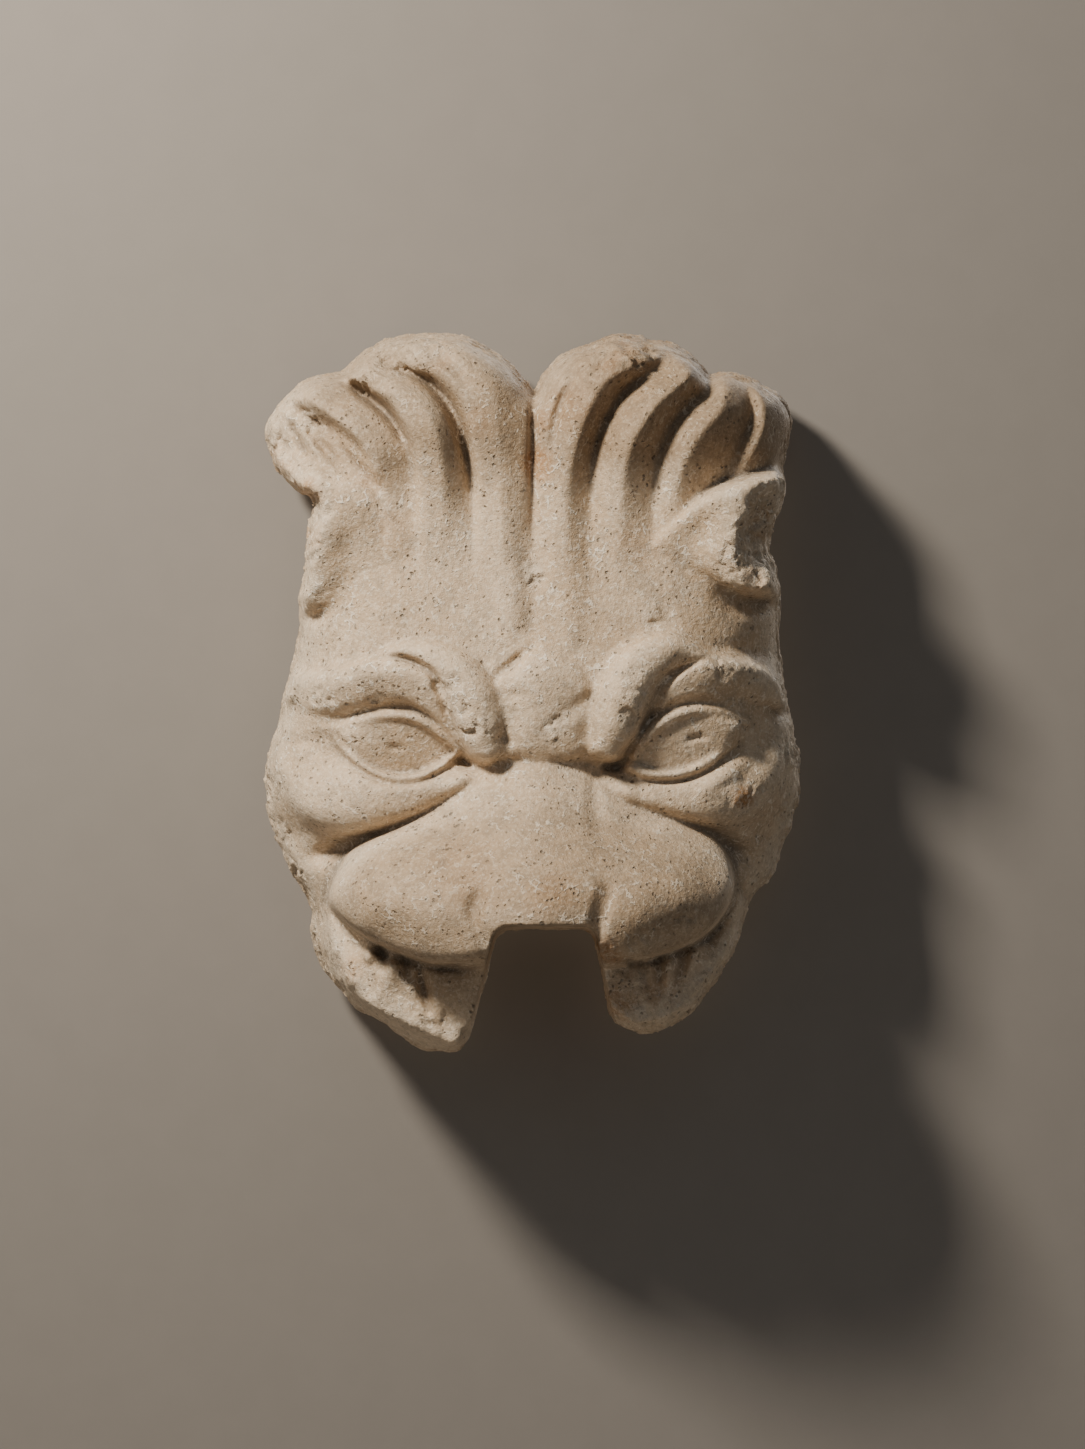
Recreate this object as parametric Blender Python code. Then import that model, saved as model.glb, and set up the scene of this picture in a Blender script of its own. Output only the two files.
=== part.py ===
import bmesh
import bpy
import numpy as np

# Lion head fountain mask in marble, with its flat back at y = 0, its front towards -Y and +Z up.
# The origin is at the middle of the back. All sizes are in metres.
HEIGHT = 0.400
DEPTH = 0.165

# Gap for the water spout between the two parts of the jaw
GAP_WIDTH = 0.052
GAP_MIDDLE = 0.0075
GAP_TOP = 0.0685
GAP_FLARE_LEFT = 0.27
GAP_FLARE_RIGHT = 0.20
GAP_CORNER = 0.007

# The front is carved on a grid of this spacing, and then thinned to about this many triangles
GRID = 0.001
TRIANGLES = 9400

# The carving is drawn as it looks from straight in front, from a far point: x to the right and z up
# at the wall, and levels forward from the wall. The drawing's own units are about a millimetre.
DRAWN_HEIGHT = 400.5
DRAWN_DEPTH = 165
EYE_X = 5.8
EYE_Z = -17.8
EYE_DISTANCE = 2687

# Outline of the mask as (x, z), clockwise from the cleft at the top
OUTLINE = [
    (1, 168), (5, 176), (12, 184), (21, 190.5), (32, 195), (42, 199), (50, 200), (58, 199), (65, 197),
    (74, 195.5), (82, 192), (89, 187.5), (95, 182), (99, 177.5), (105, 178.5), (112, 178), (118, 176),
    (124, 174), (130, 170.5), (137, 165.5), (142, 160), (145, 151), (143, 141), (140, 130), (139, 123),
    (141, 118), (140, 108), (137, 97), (133, 87), (132, 78), (135, 69), (137.5, 60), (138, 48),
    (137.5, 35), (138, 22), (140, 8), (142, -4), (145, -16), (147, -30), (149, -42), (149, -58),
    (147, -66), (145, -75), (140.5, -83), (138, -93), (135, -101), (128, -108), (122, -115), (118, -125),
    (115, -135), (111, -147), (106, -155), (100, -163), (94, -172), (85, -180), (74, -186.5), (62, -188.5),
    (54, -187), (47, -183.5), (43, -179), (30, -172), (-15, -178), (-32, -187), (-36.5, -194),
    (-42, -199), (-52, -200), (-62, -198),
    (-74, -191), (-84, -183), (-97, -175.5), (-106, -166), (-115, -156), (-121, -144), (-123.5, -132),
    (-123.5, -120), (-128, -109), (-135, -98), (-140, -87), (-144, -77), (-148, -63), (-149, -49),
    (-147, -36), (-142, -21), (-139, -5), (-135, 9), (-131, 28), (-129, 44), (-130, 53), (-127, 64),
    (-126.5, 80), (-124, 94), (-122, 107), (-130, 112), (-138, 120), (-144, 127), (-146.5, 137),
    (-148.5, 148), (-143, 158), (-136, 166), (-127, 173), (-118, 177), (-108, 178.5), (-103, 180.5),
    (-96, 188), (-86, 194.5), (-75, 198.5), (-62, 200), (-48, 200), (-36, 198), (-24, 192), (-13, 184.5),
    (-4, 175),
]


def smooth_line(points, steps=6):
    """A smooth curve through rows of (x, z, ...), as denser rows."""
    p = np.array(points, float)
    p = np.vstack([2 * p[0] - p[1], p, 2 * p[-1] - p[-2]])
    return np.vstack([spans(p, steps), p[-2:-1]])


def smooth_loop(points, steps=4):
    """A smooth closed curve through points of (x, z)."""
    p = np.array(points, float)
    return spans(np.vstack([p[-1:], p, p[:2]]), steps)


def spans(p, steps):
    """Catmull-Rom spans between the rows of p, leaving out its first and last."""
    t = np.linspace(0, 1, steps, endpoint=False)[:, None]
    rows = []
    for a, b, c, d in zip(p[:-3], p[1:-2], p[2:-1], p[3:]):
        bend = (2 * a - 5 * b + 4 * c - d) * t**2
        twist = (3 * b - a - 3 * c + d) * t**3
        rows.append(0.5 * (2 * b + (c - a) * t + bend + twist))
    return np.vstack(rows)


def smooth_max(a, b, k):
    """The higher of two levels, rounded where they are within k of each other."""
    return np.maximum(a, b) + np.maximum(k - np.abs(a - b), 0) ** 2 / (4 * k)


def smooth_min(a, b, k):
    """The lower of two levels, rounded where they are within k of each other."""
    return -smooth_max(-a, -b, k)


def soft_step(t):
    """0 below 0, 1 above 1, and a smooth rise between."""
    t = np.clip(t, 0, 1)
    return t * t * (3 - 2 * t)


class Sheet:
    """Levels of the front over a grid of x and z, and the strokes that change them."""

    def __init__(self, step):
        self.x = np.arange(-162, 162 + step, step)
        self.z = np.arange(-214, 214 + step, step)
        self.X, self.Z = np.meshgrid(self.x, self.z, indexing="ij")
        self.step = step
        self.H = np.zeros_like(self.X)

    def window(self, path, reach):
        """The part of the grid within reach of a path."""
        lo = path[:, :2].min(0) - reach
        hi = path[:, :2].max(0) + reach
        i = np.searchsorted(self.x, [lo[0], hi[0]])
        j = np.searchsorted(self.z, [lo[1], hi[1]])
        return slice(i[0], i[1]), slice(j[0], j[1])

    def measure(self, path, w):
        """Distance to a path, side of it (+ on its left) and its other columns, over a window."""
        X, Z = self.X[w], self.Z[w]
        best = np.full(X.shape, np.inf)
        side = np.zeros(X.shape)
        more = [np.zeros(X.shape) for _ in range(path.shape[1] - 2)]
        for a, b in zip(path[:-1], path[1:]):
            dx, dz = b[0] - a[0], b[1] - a[1]
            size = dx * dx + dz * dz
            if size < 1e-9:
                continue
            t = np.clip(((X - a[0]) * dx + (Z - a[1]) * dz) / size, 0, 1)
            ex, ez = X - a[0] - t * dx, Z - a[1] - t * dz
            d = ex * ex + ez * ez
            near = d < best
            best[near] = d[near]
            side[near] = np.sign(dx * ez - dz * ex)[near]
            for k, m in enumerate(more):
                m[near] = (a[2 + k] + t * (b[2 + k] - a[2 + k]))[near]
        return np.sqrt(best), side, more

    def inside(self, loop, w=None):
        """Signed distance to a closed loop, positive inside."""
        w = w or self.window(loop, 12)
        closed = np.vstack([loop, loop[:1]])
        d, _, _ = self.measure(closed[:, :2], w)
        X, Z = self.X[w], self.Z[w]
        odd = np.zeros(X.shape, bool)
        for a, b in zip(closed[:-1], closed[1:]):
            if a[1] == b[1]:
                continue
            crosses = (a[1] > Z) != (b[1] > Z)
            odd ^= crosses & (X < (b[0] - a[0]) * (Z - a[1]) / (b[1] - a[1]) + a[0])
        return w, np.where(odd, d, -d)

    def ridge(self, rows):
        """Raises a path of (x, z, half width, height). A negative height cuts a groove."""
        path = smooth_line(rows)
        w = self.window(path, path[:, 2].max() + 1)
        d, _, (half, height) = self.measure(path, w)
        u = np.clip(d / half, 0, 1)
        self.H[w] += height * (1 - u * u) ** 2

    def roll(self, rows, above=5.0, below=5.0, tall=1.0, steep=3.0):
        """A rounded bar along (x, z, half width, crest level), blended in above and below."""
        path = smooth_line(rows)
        w = self.window(path, path[:, 2].max() * 2 + 14)
        d, side, (half, crest) = self.measure(path, w)
        u = np.clip(d / half, 0, 1)
        form = crest - half * tall * (1 - np.sqrt(1 - u * u)) - steep * np.maximum(d - half, 0)
        up = 0.5 + 0.5 * np.tanh(side * d / (0.5 * half))
        self.H[w] = smooth_max(self.H[w], form, below + (above - below) * up)

    def pillow(self, loop, stations, edge=8.0, drop=8.0, blend=4.0, steep=6.0):
        """A form with a rounded edge, bounded by a loop. stations give its level."""
        w, d = self.inside(smooth_loop(loop))
        u = np.clip(1 - d / edge, 0, 1)
        drop = np.broadcast_to(drop, self.X.shape)[w]
        form = levels(stations, self.X[w], self.Z[w])
        form += steep * np.minimum(d, 0) - drop * (1 - np.sqrt(1 - u * u))
        self.H[w] = smooth_max(self.H[w], form, blend)
        return w, d


def soften(field, reach):
    """The field blurred over a few grid steps."""
    n = max(1, int(3 * reach))
    k = np.exp(-0.5 * (np.arange(-n, n + 1) / reach) ** 2)
    k /= k.sum()
    padded = np.pad(field, n, mode="edge")
    rows = sum(w * padded[i:i + field.shape[0]] for i, w in enumerate(k))
    return sum(w * rows[:, i:i + field.shape[1]] for i, w in enumerate(k))


def levels(stations, X, Z, soft=12.0, mirror=False):
    """A smooth surface through stations of (x, z, level)."""
    s = np.array(stations, float)
    if mirror:
        twin = s[s[:, 0] != 0] * (-1, 1, 1)
        s = np.vstack([s, twin])
    reach = np.hypot(s[:, None, 0] - s[None, :, 0], s[:, None, 1] - s[None, :, 1])
    n = len(s)
    A = np.zeros((n + 1, n + 1))
    A[:n, :n] = np.sqrt(reach**2 + soft**2)
    A[n, :n] = A[:n, n] = 1
    weights = np.linalg.solve(A, np.append(s[:, 2], 0))
    total = np.full(X.shape, weights[n])
    for (x, z, _), k in zip(s, weights):
        total += k * np.sqrt((X - x) ** 2 + (Z - z) ** 2 + soft**2)
    return total


# Levels (x, z, level) of the stone under the carving, the same on both sides
GROUND = [
    (0, 190, 80), (30, 190, 84), (60, 190, 83), (95, 175, 76), (125, 165, 68), (140, 150, 58),
    (0, 150, 86), (35, 150, 95), (70, 150, 94), (105, 145, 84), (130, 135, 68), (145, 140, 54),
    (0, 110, 90), (40, 110, 91), (80, 110, 87), (110, 105, 74), (128, 105, 56),
    (0, 70, 95), (40, 70, 95), (80, 70, 91), (110, 70, 78), (128, 70, 54),
    (0, 35, 102), (40, 35, 101), (80, 35, 97), (108, 35, 84), (125, 35, 66), (134, 30, 46),
    (0, 0, 104), (25, 0, 104), (60, 0, 100), (90, 0, 94), (115, 0, 82), (132, 0, 58), (142, 0, 32),
    (30, -38, 88), (50, -32, 90), (75, -30, 90), (100, -28, 85), (120, -28, 73), (135, -28, 54),
    (146, -30, 28),
    (60, -60, 88), (90, -60, 84), (118, -60, 72), (136, -60, 46), (147, -60, 24),
    (0, -42, 98), (0, -80, 108), (60, -90, 80), (108, -90, 66), (125, -95, 52), (138, -90, 28),
    (112, -120, 56), (122, -122, 30),
    (30, -155, 84), (60, -155, 82), (85, -152, 74), (100, -150, 62), (112, -150, 32),
    (45, -180, 96), (65, -180, 93), (85, -175, 74), (60, -194, 84), (0, -150, 90), (0, -190, 90),
]

# How wide the edge turns, as (x, z, width), the same on both sides
EDGE_TURNS = [
    (0, 195, 36), (60, 195, 36), (110, 170, 32), (145, 150, 30), (140, 110, 24), (135, 70, 26),
    (138, 30, 30), (148, -40, 8), (149, -60, 6), (138, -90, 6), (122, -115, 7), (112, -145, 8),
    (90, -175, 9), (60, -190, 10), (40, -195, 9),
]
EDGE_LEVEL = 112
EDGE_ROUND = 5
EDGE_STEEPNESS = 14
GAP_STEEPNESS = 80
BEHIND = 12

# Places where the stone is chipped or broken, as (x, z, radius, depth)
BREAKS = [
    (44, 187, 11, 3), (60, 188, 10, 3), (-78, 186, 12, 2.5), (-60, 190, 12, 2), (-94, 176, 8, 2.5),
    (-125, 148, 9, 2), (-140, 135, 8, 2), (-121, 102, 8, 2.5), (-124, 82, 8, 2), (-122, 58, 6, 1.5),
    (127, 97, 11, 3), (127, 66, 9, 2.5), (136, 113, 6, 1.5), (138, 85, 6, 2), (70, 42, 8, 0.6),
    (0, 66, 7, 1), (-117, -3, 6, 1.5), (-88, -4, 5, 1.2), (-45, 4, 7, 1.7), (-43, -9, 6, 1.3),
    (-36, -20, 7, 1.8), (-25, -16, 5, 0.8), (57, 9, 6, 1.2), (60, -2, 6, 1.2), (54, -14, 5, 0.8),
    (104, 14, 6, 0.8), (126, 11, 6, 0.8), (117, -58, 10, 0.9), (12, -21, 7, 0.8),
    (42, -143, 6, 1.5), (60, -143, 7, 0.8), (86, -128, 7, 0.5), (130, 100, 8, 2), (123, 84, 9, 2.5),
    (131, 74, 9, 2.5), (118, 62, 8, 1),
    (-62, -191, 14, 2.5), (-44, -184, 10, 2), (-98, -162, 10, 2), (-80, -172, 13, 2), (-110, -140, 7, 1.5),
    (66, -183, 12, 2.5), (92, -166, 9, 1.5), (58, -164, 9, 1), (106, -150, 8, 1.5),
    (-147, -52, 9, 2), (-144, -78, 8, 2), (-134, -102, 8, 2), (-122, -128, 6, 2), (-112, -152, 7, 1.5),
    (147, -34, 8, 2), (146, -66, 8, 2), (138, -92, 6, 1.5), (128, -106, 6, 1.5),
]

# Outline and levels of the muzzle
MUZZLE_LOOP = [
    (-22, -37), (-10, -34), (0, -33), (12, -33.5), (25, -37), (32, -43), (40, -52), (50, -60), (65, -66),
    (80, -70), (92, -75.5), (102, -82), (109, -92), (112, -104), (110, -116), (105, -125), (98, -132.5),
    (88, -139), (76, -144), (62, -147.5), (48, -147.5), (34, -147), (5, -150), (-25, -149), (-40, -150.5),
    (-56, -150), (-70, -146), (-81, -141.5), (-90, -137), (-100, -131), (-107, -124), (-112, -116),
    (-111, -107), (-107, -98), (-102, -90), (-92, -83), (-80, -78), (-65, -71), (-52, -64),
    (-40, -55), (-31, -46),
]
MUZZLE_LEVELS = [
    (0, -38, 105), (0, -60, 119), (0, -80, 136), (0, -100, 151), (0, -120, 161), (0, -138, 161),
    (26, -46, 102), (30, -70, 119), (32, -100, 144), (32, -122, 155),
    (60, -72, 104), (60, -90, 127), (60, -110, 146), (60, -130, 150), (55, -145, 147),
    (90, -80, 96), (90, -100, 121), (90, -120, 133), (84, -138, 129),
    (106, -95, 98), (112, -108, 106), (108, -120, 114),
]


def mane(sheet, reach):
    """The locks: between each two valleys the stone rises to a crest."""
    right = [
        [(0.5, -60), (0.5, 60), (0.5, 120), (1, 168), (1, 215)],
        [
            (33, 20), (33, 80), (32.5, 105), (33, 125), (37, 143), (44, 157), (52, 168), (61, 176),
            (70, 182), (73, 190), (70, 200), (66, 225),
        ],
        [
            (67, 20), (67, 95), (67.5, 112), (69, 125), (73, 138), (79, 150), (88, 160), (97, 168),
            (100, 176), (103, 188), (108, 215),
        ],
        [
            (97, 60), (102, 108), (107, 120), (112, 131), (117, 141), (121.5, 150), (122.5, 160),
            (120, 169), (118, 178), (120, 200),
        ],
        [(130, 80), (135, 122), (138, 132), (140, 142), (141, 152), (138, 162), (134, 170), (136, 190)],
        [(150, 80), (152, 120), (153, 140), (154, 160), (152, 180), (150, 200)],
    ]
    left = [
        [(0.5, -60), (0.5, 60), (0.5, 120), (1, 168), (1, 215)],
        [
            (-32, 20), (-32.5, 95), (-33, 108), (-34, 120), (-37, 137), (-42, 156), (-49, 166),
            (-58, 173.5), (-66, 177.5), (-78, 183), (-88, 195), (-95, 215),
        ],
        [
            (-65, 20), (-65, 95), (-66, 115), (-68, 131), (-71, 141), (-75.5, 149), (-82, 157),
            (-90, 164), (-97, 168.5), (-103, 172), (-107, 180), (-112, 200),
        ],
        [
            (-80, 60), (-84, 105), (-90.8, 118), (-98.5, 128), (-108, 139), (-117.6, 148.8),
            (-127, 155), (-135, 161), (-143, 168), (-158, 182),
        ],
        [
            (-100, 60), (-110, 112), (-118, 122), (-125, 131), (-130, 140), (-134, 147), (-140, 153),
            (-150, 160), (-165, 168),
        ],
        [(-112, 60), (-126, 116), (-133, 124), (-138, 133), (-142, 141), (-150, 147), (-165, 152)],
        [(-125, 60), (-139, 105), (-148, 118), (-156, 130), (-170, 136)],
    ]
    # where across each lock its crest lies, low and high up, the most that it rises, how far its inner
    # valley is filled, and how square its outer side is
    right_crests = [
        (0.58, 0.74, 17, 0.6, 0), (0.5, 0.56, 19, 0, 0), (0.38, 0.42, 18, 0, 0), (0.34, 0.38, 14, 0, 0),
        (0.5, 0.5, 8, 0, 0),
    ]
    left_crests = [
        (0.52, 0.5, 18, 0.62, 0.6), (0.5, 0.45, 21, 0, 0.7), (0.8, 0.7, 18, 0, 0.3), (0.6, 0.6, 14, 0, 0.3),
        (0.55, 0.55, 10, 0, 0), (0.5, 0.5, 8, 0, 0),
    ]
    for family, crests, sign in ((right, right_crests, 1), (left, left_crests, -1)):
        w = (slice(None), sheet.z > 20)
        X, Z = sheet.X[w], sheet.Z[w]
        gaps = []
        for rows in family:
            path = smooth_line([(x, z) for x, z in rows], 4)
            d, side, _ = sheet.measure(path, w)
            gaps.append(d * -side * sign)
        relief = np.zeros_like(X)
        up = soft_step((Z - 95) / 70)
        for inner, outer, (low, high, tall, fill, square) in zip(gaps[:-1], gaps[1:], crests):
            between = (inner > 0) & (outer <= 0)
            a, b = np.abs(inner), np.abs(outer)
            width = a + b
            r = a / np.maximum(width, 1e-6)
            crest = low + (high - low) * up
            falling = (1 - square) * (1 - r) / (1 - crest) + square * np.minimum(1, (1 - r) / 0.14)
            tent = np.where(r < crest, r / crest, falling)
            form = 1 - (1 - tent) ** 1.25
            form = np.where(r < crest, fill + (1 - fill) * form, form)
            relief[between] = (form * np.minimum(width * 0.62, tall))[between]
        fade = soft_step((Z - (48 + 0.12 * np.abs(X))) / 112)
        fade *= soft_step(reach[w] / 7)
        sheet.H[w] += np.where(X * sign > 0, (relief - 5) * fade, 0)
    s = sheet
    # small grooves and the fronts of the lock ends
    s.ridge([
        (11, 136, 2, -1), (12.5, 148, 3.2, -5), (15.5, 160, 3.5, -7), (19, 168, 3.5, -5),
        (25, 177, 3, -1),
    ])
    s.ridge([(38, 170, 9, 0), (50, 178, 11, 6), (61, 183, 10, 8), (69, 187, 7, 6)])
    s.ridge([(84, 168, 8, 0), (90, 176, 9, 4), (93, 182, 8, 3)])
    s.ridge([
        (-71, 140, 3, -5), (-76, 149.5, 4.5, -13), (-83, 158, 5.5, -19), (-90, 164, 5.5, -19),
        (-97, 168.5, 5, -13), (-103, 171.5, 3, -4),
    ])
    s.ridge([(-78, 170, 4, -1), (-85, 172, 6, -5), (-93, 174.5, 5, -4), (-98, 176, 3, -1)])
    s.ridge([
        (-89, 127, 3, -2), (-99, 138, 4.5, -7), (-109, 146.5, 5, -9), (-118, 153, 4, -5),
        (-125, 157, 3, -1),
    ])
    s.ridge([
        (-98, 118, 3, -1), (-107, 127, 4, -5), (-115, 135, 4.5, -8), (-121, 143, 4, -6),
        (-126, 150, 3, -2),
    ])
    s.ridge([(-113, 118, 3, -1), (-122, 127, 3.5, -5), (-129, 137, 4, -7), (-133, 147, 3, -3)])
    s.ridge([(-128, 122, 3, -1), (-134, 133, 4.5, -6), (-139, 143, 4.5, -7), (-143, 151, 3, -3)])
    s.ridge([(-68, 160, 8, 0), (-80, 169, 9, 5), (-92, 176, 8, 6), (-99, 178, 6, 4)])
    s.ridge([(-60, 190, 5, -2), (-50, 186, 5, -4), (-41, 178, 4, -3), (-36, 170, 3, -1)])
    s.ridge([
        (-16, 118, 9, 1), (-16, 90, 12, 2.5), (-14, 65, 13, 2), (-12, 46, 12, 2.5), (-13, 32, 9, 3),
    ])
    s.ridge([(17, 110, 9, 1), (18, 80, 14, 3), (20, 52, 14, 3), (22, 34, 11, 2)])
    s.ridge([
        (0.5, 172, 4, -5), (0.5, 150, 4, -4), (0.5, 120, 5, -3), (0.5, 90, 9, -2), (0.5, 60, 11, -1.5),
        (1, 36, 7, -1.5),
    ])
    s.ridge([
        (-74, 181, 3, -3), (-64, 176, 4, -9), (-54, 169, 5, -13), (-46, 158, 5, -13),
        (-40, 144, 5, -10), (-36, 127, 4, -5), (-34, 112, 3, -2),
    ])


def ears(s):
    """The left ear is a broken stump, the right ear a leaf with its front edge broken out."""
    s.pillow(
        [
            (-64, 84), (-74, 96), (-86, 108), (-98, 115.5), (-110, 119.5), (-121, 122), (-128, 112),
            (-130, 90), (-130, 70), (-132, 52), (-121, 47), (-110, 56), (-101, 66), (-90, 70),
            (-76, 74),
        ],
        [
            (-70, 84, 88), (-84, 102, 91), (-98, 111, 94), (-114, 117, 92), (-88, 90, 89),
            (-92, 78, 86), (-104, 66, 82), (-104, 96, 93), (-118, 80, 86), (-120, 56, 76),
        ],
        edge=10, drop=4, blend=12, steep=1.5,
    )
    s.ridge([
        (-121, 118, 10, 1), (-119, 100, 14, 2), (-117, 82, 18, 4), (-117, 66, 15, 5),
        (-122, 54, 10, 5),
    ])
    s.ridge([(-124, 112, 4, -3), (-121, 100, 5, -7), (-122, 88, 4, -4)])
    s.ridge([(-131, 42, 5, -6), (-121, 41, 5, -10), (-113, 45, 5, -5), (-105, 52, 5, -1)])
    s.pillow(
        [
            (67, 82), (79, 95), (92, 106.5), (105, 113.5), (119, 117.5), (133, 120), (143, 118),
            (141, 108), (138, 96), (135, 85), (135, 74), (139, 64), (137, 57), (124, 55), (112, 58),
            (100, 64), (84, 72),
        ],
        [
            (74, 86, 93), (84, 98, 97), (98, 110, 103), (112, 117, 106), (124, 120, 105),
            (137, 119, 97), (137, 105, 86), (118, 104, 107), (114, 92, 106), (112, 80, 104),
            (98, 92, 97), (92, 76, 93), (110, 66, 98), (124, 66, 99), (134, 63, 92), (130, 80, 86),
        ],
        edge=6, drop=6, blend=6, steep=8,
    )
    s.ridge([
        (134, 114, 6, -2), (129, 104, 9, -6), (126, 94, 10, -9), (126, 84, 10, -10), (129, 74, 8, -5),
    ])
    s.ridge([(142, 104, 7, -5), (138, 92, 8, -8), (138, 80, 8, -6)])
    s.ridge([(119, 95, 3, -2), (118, 90, 4, -6), (119, 84, 3, -3)])
    s.ridge([(104, 54, 7, -2), (118, 48, 9, -6), (132, 50, 7, -6), (139, 54, 5, -4)])


def brows(s):
    # outer folds over the eyes
    s.roll([
        (-130, 2, 9, 66), (-120, 0, 12, 84), (-108, 0, 13, 95), (-94, 3.5, 13, 101.5),
        (-79, 6, 12.5, 105), (-66, 4, 11, 106.5), (-55, -4, 8.5, 106.5), (-47, -13, 6.5, 105),
        (-40, -23, 5, 103),
    ], above=30, below=3, steep=5)
    s.roll([
        (52, -12, 7.5, 101), (66, -2.5, 8, 103.5), (82, 8, 10.5, 105.5), (96, 10, 11.5, 103),
        (110, 8, 12, 96), (123, 4, 10.5, 84), (135, -1, 7, 66),
    ], above=22, below=7, steep=4)
    s.ridge([(96, 17, 4, 0.5), (106, 15, 5, 1.5), (118, 13, 5, 1.5), (130, 11, 4, 1)])
    s.ridge([(98, 25, 7, -1), (112, 23, 7, -2), (128, 20, 6, -2)])
    # inner brows, each a hooked curl
    s.roll([
        (-79, 20, 3, 102), (-69, 20, 7, 106), (-57, 17, 10.5, 111), (-45, 10, 13, 115),
        (-36, 0, 14.5, 118), (-31.5, -11, 14.5, 119), (-28, -22, 12.5, 119), (-25.5, -30, 9.5, 116),
    ], above=16, below=5, steep=4)
    s.roll([
        (92, 21, 3, 103), (86, 23, 6, 106), (77, 23.5, 9.5, 110), (67, 19, 12, 113),
        (58, 11, 13.5, 115), (52, 0, 15, 116.5), (48, -10, 14.5, 117), (44.5, -20, 13, 116.5),
        (41, -28, 9.5, 114),
    ], above=5, below=14, steep=3)
    s.ridge([
        (-80, 20.5, 2.5, -2), (-72, 19, 3, -6), (-63, 15.5, 3.5, -8), (-55.5, 10, 3.5, -8),
        (-51, 1, 4, -6), (-47, -11, 4, -4), (-42, -22, 3, -2),
    ])
    s.ridge([
        (93, 17.5, 2.5, -2), (86, 14.5, 3, -6), (78, 10, 4, -7), (72, 3, 5, -6), (68, -6, 5, -5),
        (62, -17, 5, -3),
    ])
    # boss between the brows, with its lumps
    s.pillow(
        [
            (-18, 8), (-9, 17), (0, 23), (12, 22), (24, 14), (31, 3), (32, -9), (32, -22), (28, -34),
            (13, -38), (-4, -37.5), (-17, -35), (-16, -20), (-19, -5),
        ],
        [
            (2, 7, 113), (4, 19, 109), (22, 6, 109), (-12, 4, 111), (6, -8, 113), (26, -12, 110),
            (-10, -12, 111.5), (4, -22, 112), (26, -27, 110), (-12, -27, 111), (4, -33, 110),
        ],
        edge=14, drop=6, blend=14, steep=1,
    )
    s.ridge([(-22, 6, 4, -1), (-17, 11, 4.5, -4), (-9, 17.5, 4.5, -6), (-3, 23, 4, -3), (2, 28, 3, -1)])
    s.ridge([(-19, -1, 3, -1), (-10, -1.5, 4, -2), (-2, -1, 3, -0.5)])
    s.ridge([(16, -11, 4, -0.5), (23, -8, 5, -1.5), (29, -4.5, 5.5, -2), (34, 0, 4, -1.5)])
    s.ridge([(16, -17, 7, 0.5), (25, -17, 8, 1.5), (33, -14, 6, 0.5)])
    s.ridge([(-18, -25, 4, -2), (-12, -27, 4, -1.5), (-5, -27, 3, -0.5)])
    s.ridge([
        (-27, -40, 4, -3), (-16, -40, 4, -2.5), (0, -40, 4, -1), (16, -40, 4, -1.5), (33, -39, 4, -3),
    ])


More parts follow.
